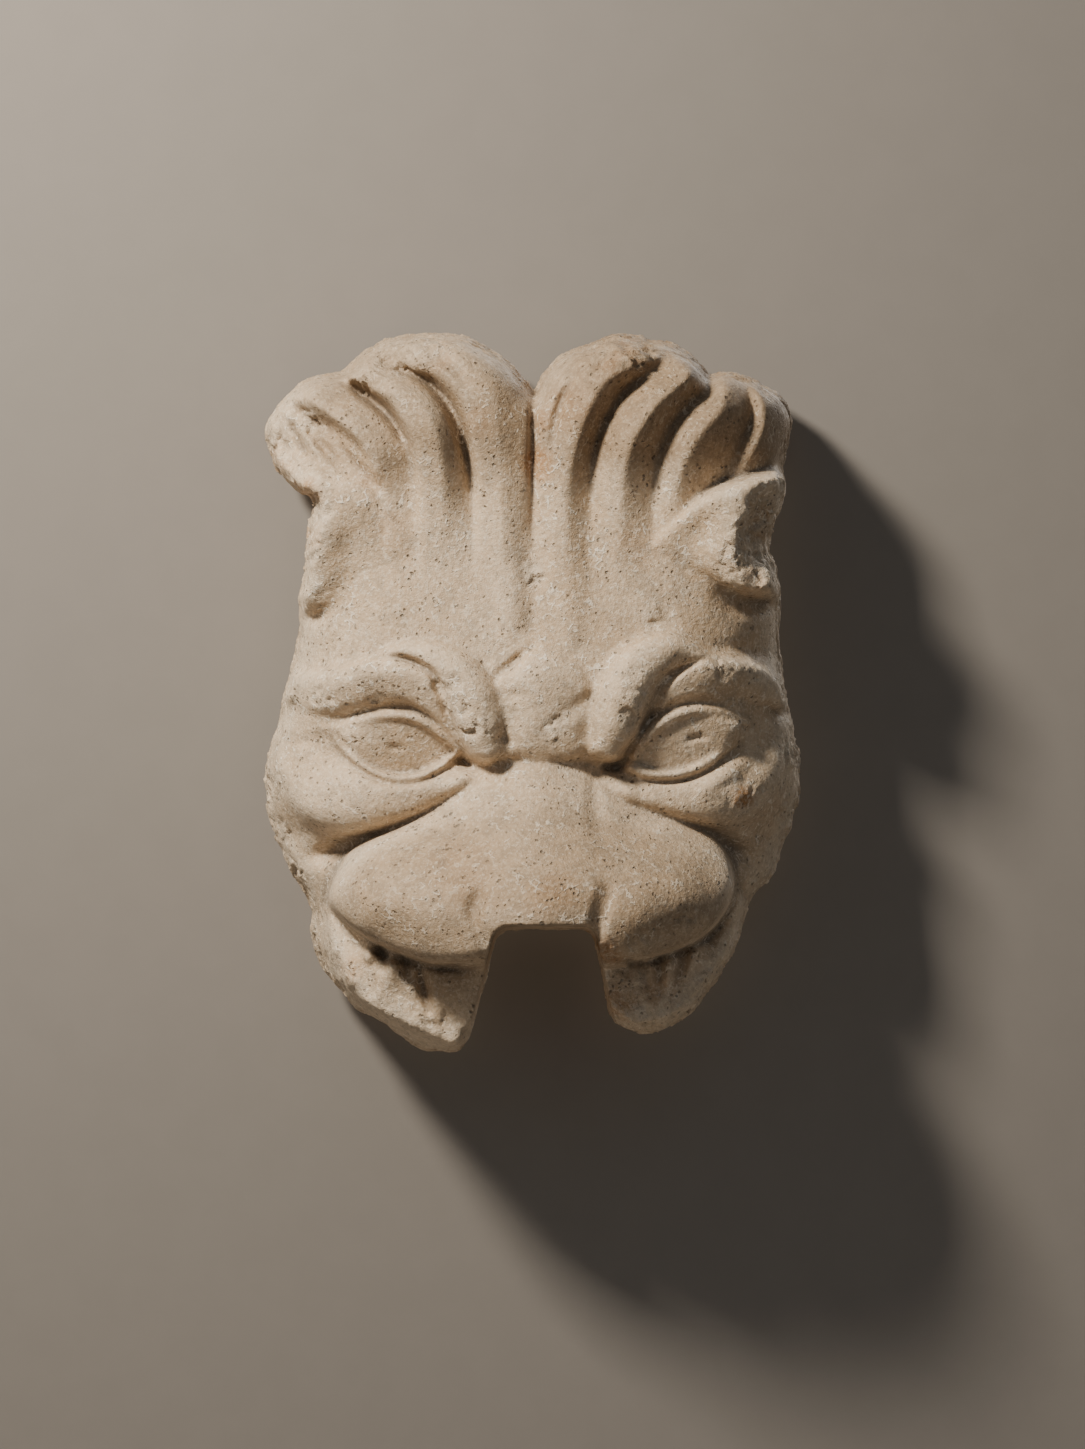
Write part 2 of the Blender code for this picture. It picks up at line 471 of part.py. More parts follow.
def eyes(s):
    # fuller stone round the right eye, then the lids and the eyes themselves
    s.ridge([(96, -53, 9, 2), (110, -42, 10, 5), (121, -30, 10, 5), (128, -19, 8, 3)])
    s.ridge([(74, -9, 5, 3), (86, -3.5, 6, 5), (100, -3.5, 6, 5), (114, -8, 6, 4)])
    s.roll([
        (-117, -20, 2, 78), (-106, -19.5, 2.6, 89), (-95, -16, 2.8, 94.5), (-85, -13.4, 2.9, 97),
        (-75, -12.6, 2.9, 98.5), (-66, -14, 2.9, 99.5), (-58, -18, 2.9, 99.5), (-50, -24, 2.7, 98.5),
        (-42, -31, 2.2, 96),
    ], above=2, below=1, steep=5)
    s.roll([
        (-110, -23, 1.8, 84), (-104, -31, 2.2, 89), (-97, -38, 2.5, 94), (-88, -43.7, 2.8, 96.5),
        (-78, -46.7, 2.9, 98), (-67, -46.8, 2.9, 98.5), (-58, -44.3, 2.8, 98.5), (-50, -39.7, 2.5, 97),
        (-42, -33, 2.2, 94.5),
    ], above=1, below=3, steep=5)
    s.roll([
        (57, -36, 2, 101), (63, -27, 2.6, 103), (71, -18.5, 3, 104), (80, -13, 3.2, 103.5),
        (90, -10.3, 3.2, 101), (101, -10.5, 3, 96), (110, -13, 2.6, 90), (119, -16.5, 2, 82),
    ], above=2, below=1, steep=5)
    s.roll([
        (55, -41, 2.2, 101), (62, -44.3, 2.7, 101.5), (72, -45.6, 2.9, 101), (82, -44.8, 2.9, 99.5),
        (92, -41.8, 2.9, 97), (100, -37, 2.8, 94), (108, -29.5, 2.5, 90), (115, -21.5, 2.1, 85),
    ], above=1, below=8, steep=3)
    for loop, centre, lean, level in (
        ([
            (-107, -23), (-100, -20.6), (-95, -18.7), (-85, -16.2), (-75, -15.3), (-66, -16.8),
            (-58, -20.8), (-50, -27), (-43, -32.3), (-50, -38), (-58, -42.5), (-67, -45), (-77, -45),
            (-87, -42), (-95, -37.2), (-101, -31),
        ], (-74, -31), (-0.03, 0.24), 92.5),
        ([
            (58, -39), (61, -32), (66, -25.5), (73, -19.5), (81, -15), (91, -12.7), (101, -13),
            (110, -15.6), (116, -18), (112, -24), (106, -30.5), (99, -35.5), (91, -40), (82, -43),
            (73, -43.8), (64, -42.6),
        ], (86, -28), (-0.2, 0.21), 97),
    ):
        ring = smooth_loop(loop)
        w, d = s.inside(ring)
        across = s.X[w] - centre[0]
        up = s.Z[w] - centre[1]
        ball = level - 3.5 * (across / 34) ** 2 - 0.006 * up**2 + lean[0] * across + lean[1] * up
        m = soft_step((d + 0.6) / 1.2)
        s.H[w] = s.H[w] * (1 - m) + ball * m
    s.ridge([(-80, -31, 1.6, -1), (-75.5, -30.3, 2, -3), (-71, -30.8, 1.6, -1.5)])
    s.ridge([(85, -27.5, 1.8, -1.2), (91, -24.8, 2.2, -3.4), (97, -25, 1.8, -1.5)])
    s.ridge([(-30, -38, 5, -4), (-36, -39, 5, -9), (-44, -37, 4, -4)])
    s.ridge([(38, -38, 5, -5), (45, -41, 6, -10), (54, -38, 4, -3)])


def cheeks(s):
    """The full rolls under the eyes, and the creases that part them from the muzzle."""
    s.roll([
        (-137, -28, 9, 50), (-129, -42, 14, 68), (-117, -54, 19, 87), (-101, -60, 19, 98),
        (-84, -61, 16, 101), (-67, -58.5, 12, 101), (-52, -54, 9, 98), (-40, -50, 7, 94),
    ], above=26, below=7, steep=3)
    s.roll([
        (134, -22, 8, 58), (129, -36, 14, 73), (118, -49, 18, 88), (102, -57, 17.5, 97),
        (85, -59, 14.5, 100), (68, -56.5, 11, 99.5), (55, -53, 10, 96.5), (44, -50, 9, 91),
    ], above=26, below=7, steep=3)
    s.ridge([
        (-124, -92, 9, -4), (-113, -89, 8, -12), (-98, -82, 6, -9), (-80, -76, 4, -6),
        (-64, -70.5, 3.5, -4), (-50, -63, 3, -1),
    ])
    s.ridge([
        (124, -94, 9, -4), (114, -88, 8, -11), (100, -79, 5.5, -8), (84, -72, 4, -5),
        (68, -67, 3.5, -4), (54, -62, 3, -1),
    ])
    s.ridge([(-146, -20, 6, -3), (-132, -27, 6, -3), (-118, -26, 4, -2)])
    s.ridge([(-50, -56, 8, 3), (-40, -52, 9, 8), (-30, -47, 8, 8)])
    s.ridge([(52, -56, 9, 3), (42, -52, 10, 4), (32, -47, 9, 4)])


def muzzle(s):
    stations = []
    for x, z, level in MUZZLE_LEVELS:
        for sign in ((1, -1) if x else (1,)):
            stations.append((sign * x, z, level))
    shallow = soft_step((-s.Z - 50) / 50)
    s.pillow(MUZZLE_LOOP, stations, edge=8, drop=4 + 6 * shallow, blend=6, steep=30)
    # the pad of the nose, with a nostril's crease on each side
    s.pillow(
        [
            (-27, -108), (-29, -118), (-27, -127), (-20, -134), (5, -140), (32, -136), (39, -126),
            (41, -116), (39, -107), (25, -98), (5, -95), (-14, -98),
        ],
        [
            (5, -96, 149), (5, -110, 157), (5, -124, 164), (-18, -104, 152), (-20, -120, 158),
            (28, -104, 151), (30, -120, 156), (5, -136, 165),
        ],
        edge=14, drop=4, blend=9, steep=1,
    )
    s.ridge([
        (-26, -106, 5, 0), (-29, -113, 7, -4), (-32, -120, 7, -4.5), (-31, -129, 6, -3),
        (-28, -137, 5, -3), (-26, -145, 4, -3),
    ])
    s.ridge([
        (43, -102, 7, 0), (41, -111, 8, -3), (39, -119, 8, -4.5), (37, -127, 7, -5), (36, -135, 6, -5),
    ])
    s.ridge([(34, -48, 5, -1), (34, -60, 7, -3), (37, -74, 9, -3), (42, -88, 9, -1)])
    s.ridge([(-38, -60, 8, -2), (-41, -74, 10, -3), (-44, -88, 10, -1)])


def jaw(s):
    s.pillow(
        [
            (-112, -114), (-113.5, -128), (-112, -140), (-108, -150), (-103, -160), (-97, -168),
            (-89, -175), (-80, -181), (-70, -186), (-58, -191.5), (-47, -196), (-40, -196),
            (-20, -190), (-15, -160), (-15, -135), (-60, -125), (-95, -115),
        ],
        [
            (-108, -128, 72), (-105, -146, 83), (-96, -160, 93), (-80, -175, 101), (-60, -184, 106),
            (-42, -188, 108), (-35, -165, 111), (-60, -157, 107), (-85, -150, 98), (-30, -145, 112),
        ],
        edge=4, drop=5, blend=4,
    )
    s.pillow(
        [
            (113, -110), (116.5, -122), (113, -136), (108.5, -147), (103, -154), (98, -162),
            (92, -170), (84, -177), (74, -183), (62, -185.5), (53, -184), (47, -180), (30, -175),
            (30, -140), (60, -125), (90, -113),
        ],
        [
            (110, -128, 70), (105, -146, 80), (97, -159, 89), (84, -172, 97), (65, -179, 104),
            (48, -174, 106), (42, -157, 104), (62, -157, 99), (85, -147, 90),
        ],
        edge=4, drop=5, blend=4,
    )
    # what is left of the teeth, under the lip
    s.ridge([(-98, -138, 4, -4), (-97, -146, 3, -2)])
    s.ridge([(-91, -137, 4.5, 5), (-91, -143, 4.5, 7), (-91, -148, 4, 5)])
    s.ridge([(-84, -140, 4.5, -6), (-83, -147, 5, -7), (-83, -153, 4, -3)])
    s.ridge([(-78, -144, 4, 3), (-79, -154, 7, 4.5), (-82, -165, 9, 2)])
    s.ridge([(-71, -146, 4.5, -7), (-70, -153, 4.5, -7), (-68, -161, 4, -4)])
    s.ridge([(-64, -149, 5, -5), (-62, -159, 6, -8), (-60, -168, 6, -7), (-57, -176, 4, -3)])
    s.ridge([(-50, -150, 7, -2), (-48, -157, 6, -1)])
    s.ridge([(104, -128, 5, -4), (99, -138, 5, -4)])
    s.ridge([(92, -136, 4, 3), (90, -148, 4, 3), (86, -158, 3, 1)])
    s.ridge([(84, -141, 5, -5), (83, -152, 5, -5), (80, -162, 4, -2)])
    s.ridge([(77, -143, 3.5, 3), (76, -154, 3.5, 3), (76, -164, 3, 1)])
    s.ridge([(70, -145, 4.5, -6), (70, -156, 4.5, -5), (71, -166, 4, -2)])
    s.ridge([(60, -146, 5, -4), (62, -158, 5, -3), (66, -168, 4, -2)])
    s.ridge([(50, -147, 6, -5), (51, -153, 6, -3), (54, -160, 4, -1)])


def noise(X, Z, size, seed):
    """Smooth seeded noise between -1 and 1, with lumps of about the given size."""
    rng = np.random.default_rng(seed)
    total = np.zeros(X.shape)
    for octave, share in ((1, 0.65), (2, 0.35)):
        u = (X + 200) / size * octave
        v = (Z + 250) / size * octave
        i = u.astype(int)
        j = v.astype(int)
        u = soft_step(u - i)
        v = soft_step(v - j)
        knots = rng.uniform(-1, 1, (i.max() + 2, j.max() + 2))
        low = knots[i, j] * (1 - u) + knots[i + 1, j] * u
        high = knots[i, j + 1] * (1 - u) + knots[i + 1, j + 1] * u
        total += share * (low * (1 - v) + high * v)
    return total


def broken_places(X, Z):
    """How much is broken away at each place, and how rough it is there, mostly from 0 to 1."""
    depth = np.zeros(X.shape)
    rough = np.zeros(X.shape)
    wander = 4 * noise(X, Z, 9, 5)
    for x, z, radius, away in BREAKS:
        near = soft_step(1.5 - (np.hypot(X - x, Z - z) + wander) / radius)
        depth += near * away
        rough = np.maximum(rough, near * (0.6 + 0.3 * away))
    return depth, rough


def spout_gap(s, width, middle, top, flare_left, flare_right, corner):
    """Signed distance to the edge of the spout gap, positive inside the gap."""
    down = top - s.Z
    left = (s.X - middle + width / 2 + flare_left * down) / np.hypot(1, flare_left)
    right = (middle + width / 2 + flare_right * down - s.X) / np.hypot(1, flare_right)
    return smooth_min(smooth_min(left, right, corner), down, corner)


def carve(step, gap):
    """The whole front as a sheet of levels, with the edges and the spout gap cut."""
    s = Sheet(step)
    _, reach = s.inside(smooth_loop(OUTLINE), (slice(None), slice(None)))
    s.H = levels(GROUND, s.X, s.Z, mirror=True)
    rolled_back(s, reach)
    mane(s, reach)
    ears(s)
    cheeks(s)
    upper = soft_step((s.Z - 45) / 40)
    s.H = soften(s.H, 1.8 / step) * (1 - upper) + soften(s.H, 0.6 / step) * upper
    brows(s)
    eyes(s)
    jaw(s)
    muzzle(s)
    s.H = soften(s.H, 0.8 / step)
    away, rough = broken_places(s.X, s.Z)
    s.H -= away * (0.35 + np.abs(noise(s.X, s.Z, 12, 7)) * 1.2)
    s.H += rough**2 * noise(s.X, s.Z, 11, 8) * 1.1 + 0.5 * noise(s.X, s.Z, 26, 9)
    ragged = 0.5 * noise(s.X, s.Z, 14, 10) + rough * (noise(s.X, s.Z, 7, 11) - 0.4)
    cut_to_outline(s, reach + ragged)
    s.gap = spout_gap(s, *gap) + 0.6 * noise(s.X, s.Z, 15, 12)
    s.H = smooth_min(s.H, -GAP_STEEPNESS * s.gap, 5)
    s.H = np.maximum(s.H, -BEHIND)
    s.rough = rough
    s.reach = reach
    return s


def front_mesh(sheet, unit, forward):
    """The sheet of levels as a mesh in metres. What is nearer the eye is drawn larger, so it shrinks."""
    nearer = 1 - sheet.H / EYE_DISTANCE
    x = (EYE_X + (sheet.X - EYE_X) * nearer) * unit
    z = (EYE_Z + (sheet.Z - EYE_Z) * nearer) * unit
    points = np.stack([x, -sheet.H * forward, z], axis=-1).reshape(-1, 3)
    columns, rows = sheet.H.shape
    index = np.arange(columns * rows).reshape(columns, rows)
    corners = [index[:-1, :-1], index[1:, :-1], index[1:, 1:], index[:-1, 1:]]
    faces = np.stack(corners, axis=-1).reshape(-1, 4)
    mesh = bpy.data.meshes.new("front")
    mesh.from_pydata(points.tolist(), [], faces.tolist())
    mesh.update()
    return mesh


def through_modifier(mesh, kind, **settings):
    """The mesh after one modifier with the given settings."""
    carrier = bpy.data.objects.new("carrier", mesh)
    bpy.context.scene.collection.objects.link(carrier)
    modifier = carrier.modifiers.new("Shape", kind)
    for name, value in settings.items():
        setattr(modifier, name, value)
    bpy.context.view_layer.update()
    seen = carrier.evaluated_get(bpy.context.evaluated_depsgraph_get())
    result = bpy.data.meshes.new_from_object(seen)
    bpy.data.objects.remove(carrier)
    return result


def thinned(mesh, count):
    """The mesh with its triangles collapsed to about the given count."""
    triangles = sum(len(face.vertices) - 2 for face in mesh.polygons)
    ratio = min(1.0, count / triangles)
    return through_modifier(mesh, "DECIMATE", ratio=ratio, use_collapse_triangulate=True)


def closed_at_back(mesh):
    """Cuts the mesh at the wall plane and closes it there with a flat face."""
    body = bmesh.new()
    body.from_mesh(mesh)
    everything = body.verts[:] + body.edges[:] + body.faces[:]
    cut = bmesh.ops.bisect_plane(
        body, geom=everything, dist=0.00002, plane_co=(0, 0, 0), plane_no=(0, 1, 0), clear_outer=True
    )
    rim = [piece for piece in cut["geom_cut"] if isinstance(piece, bmesh.types.BMEdge)]
    for edge in rim:
        for corner in edge.verts:
            corner.co.y = 0.0
    bmesh.ops.dissolve_degenerate(body, dist=0.0002, edges=rim)
    rim = [edge for edge in body.edges if edge.is_boundary]
    bmesh.ops.triangle_fill(body, use_beauty=True, use_dissolve=False, edges=rim)
    bmesh.ops.triangulate(body, faces=body.faces[:])
    bmesh.ops.recalc_face_normals(body, faces=body.faces[:])
    body.to_mesh(mesh)
    body.free()
    mesh.validate()
    return mesh


def rolled_back(s, reach):
    """Rolls the stone back towards the wall near the outline, widely at the mane and less lower down."""
    turn = np.clip(levels(EDGE_TURNS, s.X, s.Z, mirror=True), 5, 40)
    u = np.clip(1 - np.maximum(reach, 0) / turn, 0, 1)
    side = EDGE_LEVEL * (1 - u**2.4) ** (1 / 2.4)
    s.H = smooth_min(s.H, side, 30)


def cut_to_outline(s, reach):
    """Cuts the sides down to the wall along the outline, with a rounded arris."""
    u = np.clip(1 - reach / EDGE_ROUND, 0, 1)
    s.H = np.where(reach < 0, EDGE_STEEPNESS * reach, s.H * (1 - u**2.4) ** (1 / 2.4))


def marble():
    """Creamy beige marble, matt."""
    material = bpy.data.materials.new("marble")
    material.use_nodes = True
    shader = material.node_tree.nodes["Principled BSDF"]
    shader.inputs["Base Color"].default_value = (0.55, 0.46, 0.36, 1)
    shader.inputs["Roughness"].default_value = 0.7
    shader.inputs["Metallic"].default_value = 0.0
    return material


def build():
    for old in list(bpy.data.objects):
        bpy.data.objects.remove(old, do_unlink=True)
    unit = HEIGHT / DRAWN_HEIGHT
    gap_top = (GAP_TOP - HEIGHT / 2) / unit
    gap = (GAP_WIDTH / unit, GAP_MIDDLE / unit, gap_top, GAP_FLARE_LEFT, GAP_FLARE_RIGHT, GAP_CORNER / unit)
    sheet = carve(GRID / unit, gap)
    front = front_mesh(sheet, unit, DEPTH / DRAWN_DEPTH)
    mesh = closed_at_back(thinned(front, TRIANGLES))
    mesh.name = "mask"
    mesh.shade_smooth()
    mesh.set_sharp_from_angle(angle=0.9)
    mesh.materials.append(marble())
    mask = bpy.data.objects.new("mask", mesh)
    bpy.context.scene.collection.objects.link(mask)


build()
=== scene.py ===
import math

import bmesh
import bpy
import numpy as np
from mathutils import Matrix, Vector


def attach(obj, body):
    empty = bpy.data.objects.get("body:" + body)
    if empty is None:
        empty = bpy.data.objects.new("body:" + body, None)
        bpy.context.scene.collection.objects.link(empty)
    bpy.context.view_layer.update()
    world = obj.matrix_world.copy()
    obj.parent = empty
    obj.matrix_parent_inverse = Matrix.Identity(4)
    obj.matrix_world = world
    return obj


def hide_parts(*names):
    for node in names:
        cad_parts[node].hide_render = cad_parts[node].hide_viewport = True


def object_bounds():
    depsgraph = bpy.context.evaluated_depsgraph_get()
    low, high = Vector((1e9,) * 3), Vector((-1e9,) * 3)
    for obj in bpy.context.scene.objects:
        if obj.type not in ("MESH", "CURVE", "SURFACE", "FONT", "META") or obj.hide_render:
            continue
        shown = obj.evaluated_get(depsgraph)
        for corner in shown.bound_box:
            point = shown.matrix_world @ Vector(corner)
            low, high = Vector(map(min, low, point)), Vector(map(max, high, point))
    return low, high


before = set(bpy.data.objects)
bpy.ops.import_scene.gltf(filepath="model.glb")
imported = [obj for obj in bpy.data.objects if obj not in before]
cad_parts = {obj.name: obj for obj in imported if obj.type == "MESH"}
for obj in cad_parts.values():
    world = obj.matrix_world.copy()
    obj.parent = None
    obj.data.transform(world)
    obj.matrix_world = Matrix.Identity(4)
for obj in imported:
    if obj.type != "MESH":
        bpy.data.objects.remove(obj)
CAD_LOW, CAD_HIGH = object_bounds()

bl_info = {
    "name": "Lion Head Fountain Mask",
    "version": (1, 0, 0),
    "blender": (4, 5, 0),
    "location": "3D View > Sidebar > Fountain Mask",
    "description": "A weathered marble lion head mask for a fountain, with its stage",
    "category": "Add Mesh",
}

# The carving is drawn as it looks from straight in front, from a far point: x to the right and z up
# at the back plane, and levels forward from it. The drawing's own units are about a millimetre.
DRAWN_HEIGHT = 400.5
DRAWN_DEPTH = 165
EYE_X = 5.8
EYE_Z = -17.8
EYE_DISTANCE = 2687

# Outline of the mask as (x, z), clockwise from the cleft at the top
OUTLINE = [
    (1, 168), (5, 176), (12, 184), (21, 190.5), (32, 195), (42, 199), (50, 200), (58, 199), (65, 197),
    (74, 195.5), (82, 192), (89, 187.5), (95, 182), (99, 177.5), (105, 178.5), (112, 178), (118, 176),
    (124, 174), (130, 170.5), (137, 165.5), (142, 160), (145, 151), (143, 141), (140, 130), (139, 123),
    (141, 118), (140, 108), (137, 97), (133, 87), (132, 78), (135, 69), (137.5, 60), (138, 48),
    (137.5, 35), (138, 22), (140, 8), (142, -4), (145, -16), (147, -30), (149, -42), (149, -58),
    (147, -66), (145, -75), (140.5, -83), (138, -93), (135, -101), (128, -108), (122, -115),
    (118, -125),
    (115, -135), (111, -147), (106, -155), (100, -163), (94, -172), (85, -180), (74, -186.5),
    (62, -188.5),
    (54, -187), (47, -183.5), (43, -179), (30, -172), (-15, -178), (-32, -187), (-36.5, -194),
    (-42, -199), (-52, -200), (-62, -198),
    (-74, -191), (-84, -183), (-97, -175.5), (-106, -166), (-115, -156), (-121, -144), (-123.5, -132),
    (-123.5, -120), (-128, -109), (-135, -98), (-140, -87), (-144, -77), (-148, -63), (-149, -49),
    (-147, -36), (-142, -21), (-139, -5), (-135, 9), (-131, 28), (-129, 44), (-130, 53), (-127, 64),
    (-126.5, 80), (-124, 94), (-122, 107), (-130, 112), (-138, 120), (-144, 127), (-146.5, 137),
    (-148.5, 148), (-143, 158), (-136, 166), (-127, 173), (-118, 177), (-108, 178.5), (-103, 180.5),
    (-96, 188), (-86, 194.5), (-75, 198.5), (-62, 200), (-48, 200), (-36, 198), (-24, 192),
    (-13, 184.5),
    (-4, 175),
]


def smooth_line(points, steps=6):
    """A smooth curve through rows of (x, z, ...), as denser rows."""
    p = np.array(points, float)
    p = np.vstack([2 * p[0] - p[1], p, 2 * p[-1] - p[-2]])
    return np.vstack([spans(p, steps), p[-2:-1]])


def smooth_loop(points, steps=4):
    """A smooth closed curve through points of (x, z)."""
    p = np.array(points, float)
    return spans(np.vstack([p[-1:], p, p[:2]]), steps)


def spans(p, steps):
    """Catmull-Rom spans between the rows of p, leaving out its first and last."""
    t = np.linspace(0, 1, steps, endpoint=False)[:, None]
    rows = []
    for a, b, c, d in zip(p[:-3], p[1:-2], p[2:-1], p[3:]):
        bend = (2 * a - 5 * b + 4 * c - d) * t**2
        twist = (3 * b - a - 3 * c + d) * t**3
        rows.append(0.5 * (2 * b + (c - a) * t + bend + twist))
    return np.vstack(rows)


def smooth_max(a, b, k):
    """The higher of two levels, rounded where they are within k of each other."""
    return np.maximum(a, b) + np.maximum(k - np.abs(a - b), 0) ** 2 / (4 * k)


def smooth_min(a, b, k):
    """The lower of two levels, rounded where they are within k of each other."""
    return -smooth_max(-a, -b, k)


def soft_step(t):
    """0 below 0, 1 above 1, and a smooth rise between."""
    t = np.clip(t, 0, 1)
    return t * t * (3 - 2 * t)


class Sheet:
    """Levels of the front over a grid of x and z, and the strokes that change them."""

    def __init__(self, step):
        self.x = np.arange(-162, 162 + step, step)
        self.z = np.arange(-214, 214 + step, step)
        self.X, self.Z = np.meshgrid(self.x, self.z, indexing="ij")
        self.step = step
        self.H = np.zeros_like(self.X)

    def window(self, path, reach):
        """The part of the grid within reach of a path."""
        lo = path[:, :2].min(0) - reach
        hi = path[:, :2].max(0) + reach
        i = np.searchsorted(self.x, [lo[0], hi[0]])
        j = np.searchsorted(self.z, [lo[1], hi[1]])
        return slice(i[0], i[1]), slice(j[0], j[1])

    def measure(self, path, w):
        """Distance to a path, side of it (+ on its left) and its other columns, over a window."""
        X, Z = self.X[w], self.Z[w]
        best = np.full(X.shape, np.inf)
        side = np.zeros(X.shape)
        more = [np.zeros(X.shape) for _ in range(path.shape[1] - 2)]
        for a, b in zip(path[:-1], path[1:]):
            dx, dz = b[0] - a[0], b[1] - a[1]
            size = dx * dx + dz * dz
            if size < 1e-9:
                continue
            t = np.clip(((X - a[0]) * dx + (Z - a[1]) * dz) / size, 0, 1)
            ex, ez = X - a[0] - t * dx, Z - a[1] - t * dz
            d = ex * ex + ez * ez
            near = d < best
            best[near] = d[near]
            side[near] = np.sign(dx * ez - dz * ex)[near]
            for k, m in enumerate(more):
                m[near] = (a[2 + k] + t * (b[2 + k] - a[2 + k]))[near]
        return np.sqrt(best), side, more

    def inside(self, loop, w=None):
        """Signed distance to a closed loop, positive inside."""
        w = w or self.window(loop, 12)
        closed = np.vstack([loop, loop[:1]])
        d, _, _ = self.measure(closed[:, :2], w)
        X, Z = self.X[w], self.Z[w]
        odd = np.zeros(X.shape, bool)
        for a, b in zip(closed[:-1], closed[1:]):
            if a[1] == b[1]:
                continue
            crosses = (a[1] > Z) != (b[1] > Z)
            odd ^= crosses & (X < (b[0] - a[0]) * (Z - a[1]) / (b[1] - a[1]) + a[0])
        return w, np.where(odd, d, -d)

    def ridge(self, rows):
        """Raises a path of (x, z, half width, height). A negative height cuts a groove."""
        path = smooth_line(rows)
        w = self.window(path, path[:, 2].max() + 1)
        d, _, (half, height) = self.measure(path, w)
        u = np.clip(d / half, 0, 1)
        self.H[w] += height * (1 - u * u) ** 2

    def ridges(self, paths):
        """Raises or cuts each of several paths."""
        for rows in paths:
            self.ridge(rows)

    def roll(self, rows, above=5.0, below=5.0, tall=1.0, steep=3.0):
        """A rounded bar along (x, z, half width, crest level), blended in above and below."""
        path = smooth_line(rows)
        w = self.window(path, path[:, 2].max() * 2 + 14)
        d, side, (half, crest) = self.measure(path, w)
        u = np.clip(d / half, 0, 1)
        form = crest - half * tall * (1 - np.sqrt(1 - u * u)) - steep * np.maximum(d - half, 0)
        up = 0.5 + 0.5 * np.tanh(side * d / (0.5 * half))
        self.H[w] = smooth_max(self.H[w], form, below + (above - below) * up)

    def pillow(self, loop, stations, edge=8.0, drop=8.0, blend=4.0, steep=6.0):
        """A form with a rounded edge, bounded by a loop. stations give its level."""
        w, d = self.inside(smooth_loop(loop))
        u = np.clip(1 - d / edge, 0, 1)
        drop = np.broadcast_to(drop, self.X.shape)[w]
        form = levels(stations, self.X[w], self.Z[w])
        form += steep * np.minimum(d, 0) - drop * (1 - np.sqrt(1 - u * u))
        self.H[w] = smooth_max(self.H[w], form, blend)
        return w, d


def soften(field, reach):
    """The field blurred over a few grid steps."""
    n = max(1, int(3 * reach))
    k = np.exp(-0.5 * (np.arange(-n, n + 1) / reach) ** 2)
    k /= k.sum()
    padded = np.pad(field, n, mode="edge")
    rows = sum(w * padded[i:i + field.shape[0]] for i, w in enumerate(k))
    return sum(w * rows[:, i:i + field.shape[1]] for i, w in enumerate(k))


def levels(stations, X, Z, soft=12.0, mirror=False):
    """A smooth surface through stations of (x, z, level)."""
    s = np.array(stations, float)
    if mirror:
        twin = s[s[:, 0] != 0] * (-1, 1, 1)
        s = np.vstack([s, twin])
    reach = np.hypot(s[:, None, 0] - s[None, :, 0], s[:, None, 1] - s[None, :, 1])
    n = len(s)
    A = np.zeros((n + 1, n + 1))
    A[:n, :n] = np.sqrt(reach**2 + soft**2)
    A[n, :n] = A[:n, n] = 1
    weights = np.linalg.solve(A, np.append(s[:, 2], 0))
    total = np.full(X.shape, weights[n])
    for (x, z, _), k in zip(s, weights):
        total += k * np.sqrt((X - x) ** 2 + (Z - z) ** 2 + soft**2)
    return total


# Levels (x, z, level) of the stone under the carving, the same on both sides
GROUND = [
    (0, 190, 80), (30, 190, 84), (60, 190, 83), (95, 175, 76), (125, 165, 68), (140, 150, 58),
    (0, 150, 86), (35, 150, 95), (70, 150, 94), (105, 145, 84), (130, 135, 68), (145, 140, 54),
    (0, 110, 90), (40, 110, 91), (80, 110, 87), (110, 105, 74), (128, 105, 56),
    (0, 70, 95), (40, 70, 95), (80, 70, 91), (110, 70, 78), (128, 70, 54),
    (0, 35, 102), (40, 35, 101), (80, 35, 97), (108, 35, 84), (125, 35, 66), (134, 30, 46),
    (0, 0, 104), (25, 0, 104), (60, 0, 100), (90, 0, 94), (115, 0, 82), (132, 0, 58), (142, 0, 32),
    (30, -38, 88), (50, -32, 90), (75, -30, 90), (100, -28, 85), (120, -28, 73), (135, -28, 54),
    (146, -30, 28),
    (60, -60, 88), (90, -60, 84), (118, -60, 72), (136, -60, 46), (147, -60, 24),
    (0, -42, 98), (0, -80, 108), (60, -90, 80), (108, -90, 66), (125, -95, 52), (138, -90, 28),
    (112, -120, 56), (122, -122, 30),
    (30, -155, 84), (60, -155, 82), (85, -152, 74), (100, -150, 62), (112, -150, 32),
    (45, -180, 96), (65, -180, 93), (85, -175, 74), (60, -194, 84), (0, -150, 90), (0, -190, 90),
]

# How wide the edge turns, as (x, z, width), the same on both sides
EDGE_TURNS = [
    (0, 195, 36), (60, 195, 36), (110, 170, 32), (145, 150, 30), (140, 110, 24), (135, 70, 26),
    (138, 30, 30), (148, -40, 8), (149, -60, 6), (138, -90, 6), (122, -115, 7), (112, -145, 8),
    (90, -175, 9), (60, -190, 10), (40, -195, 9),
]
EDGE_LEVEL = 112
EDGE_ROUND = 5
EDGE_STEEPNESS = 14
EDGE_ROUNDNESS = 2.4
GAP_STEEPNESS = 80
BEHIND = 12

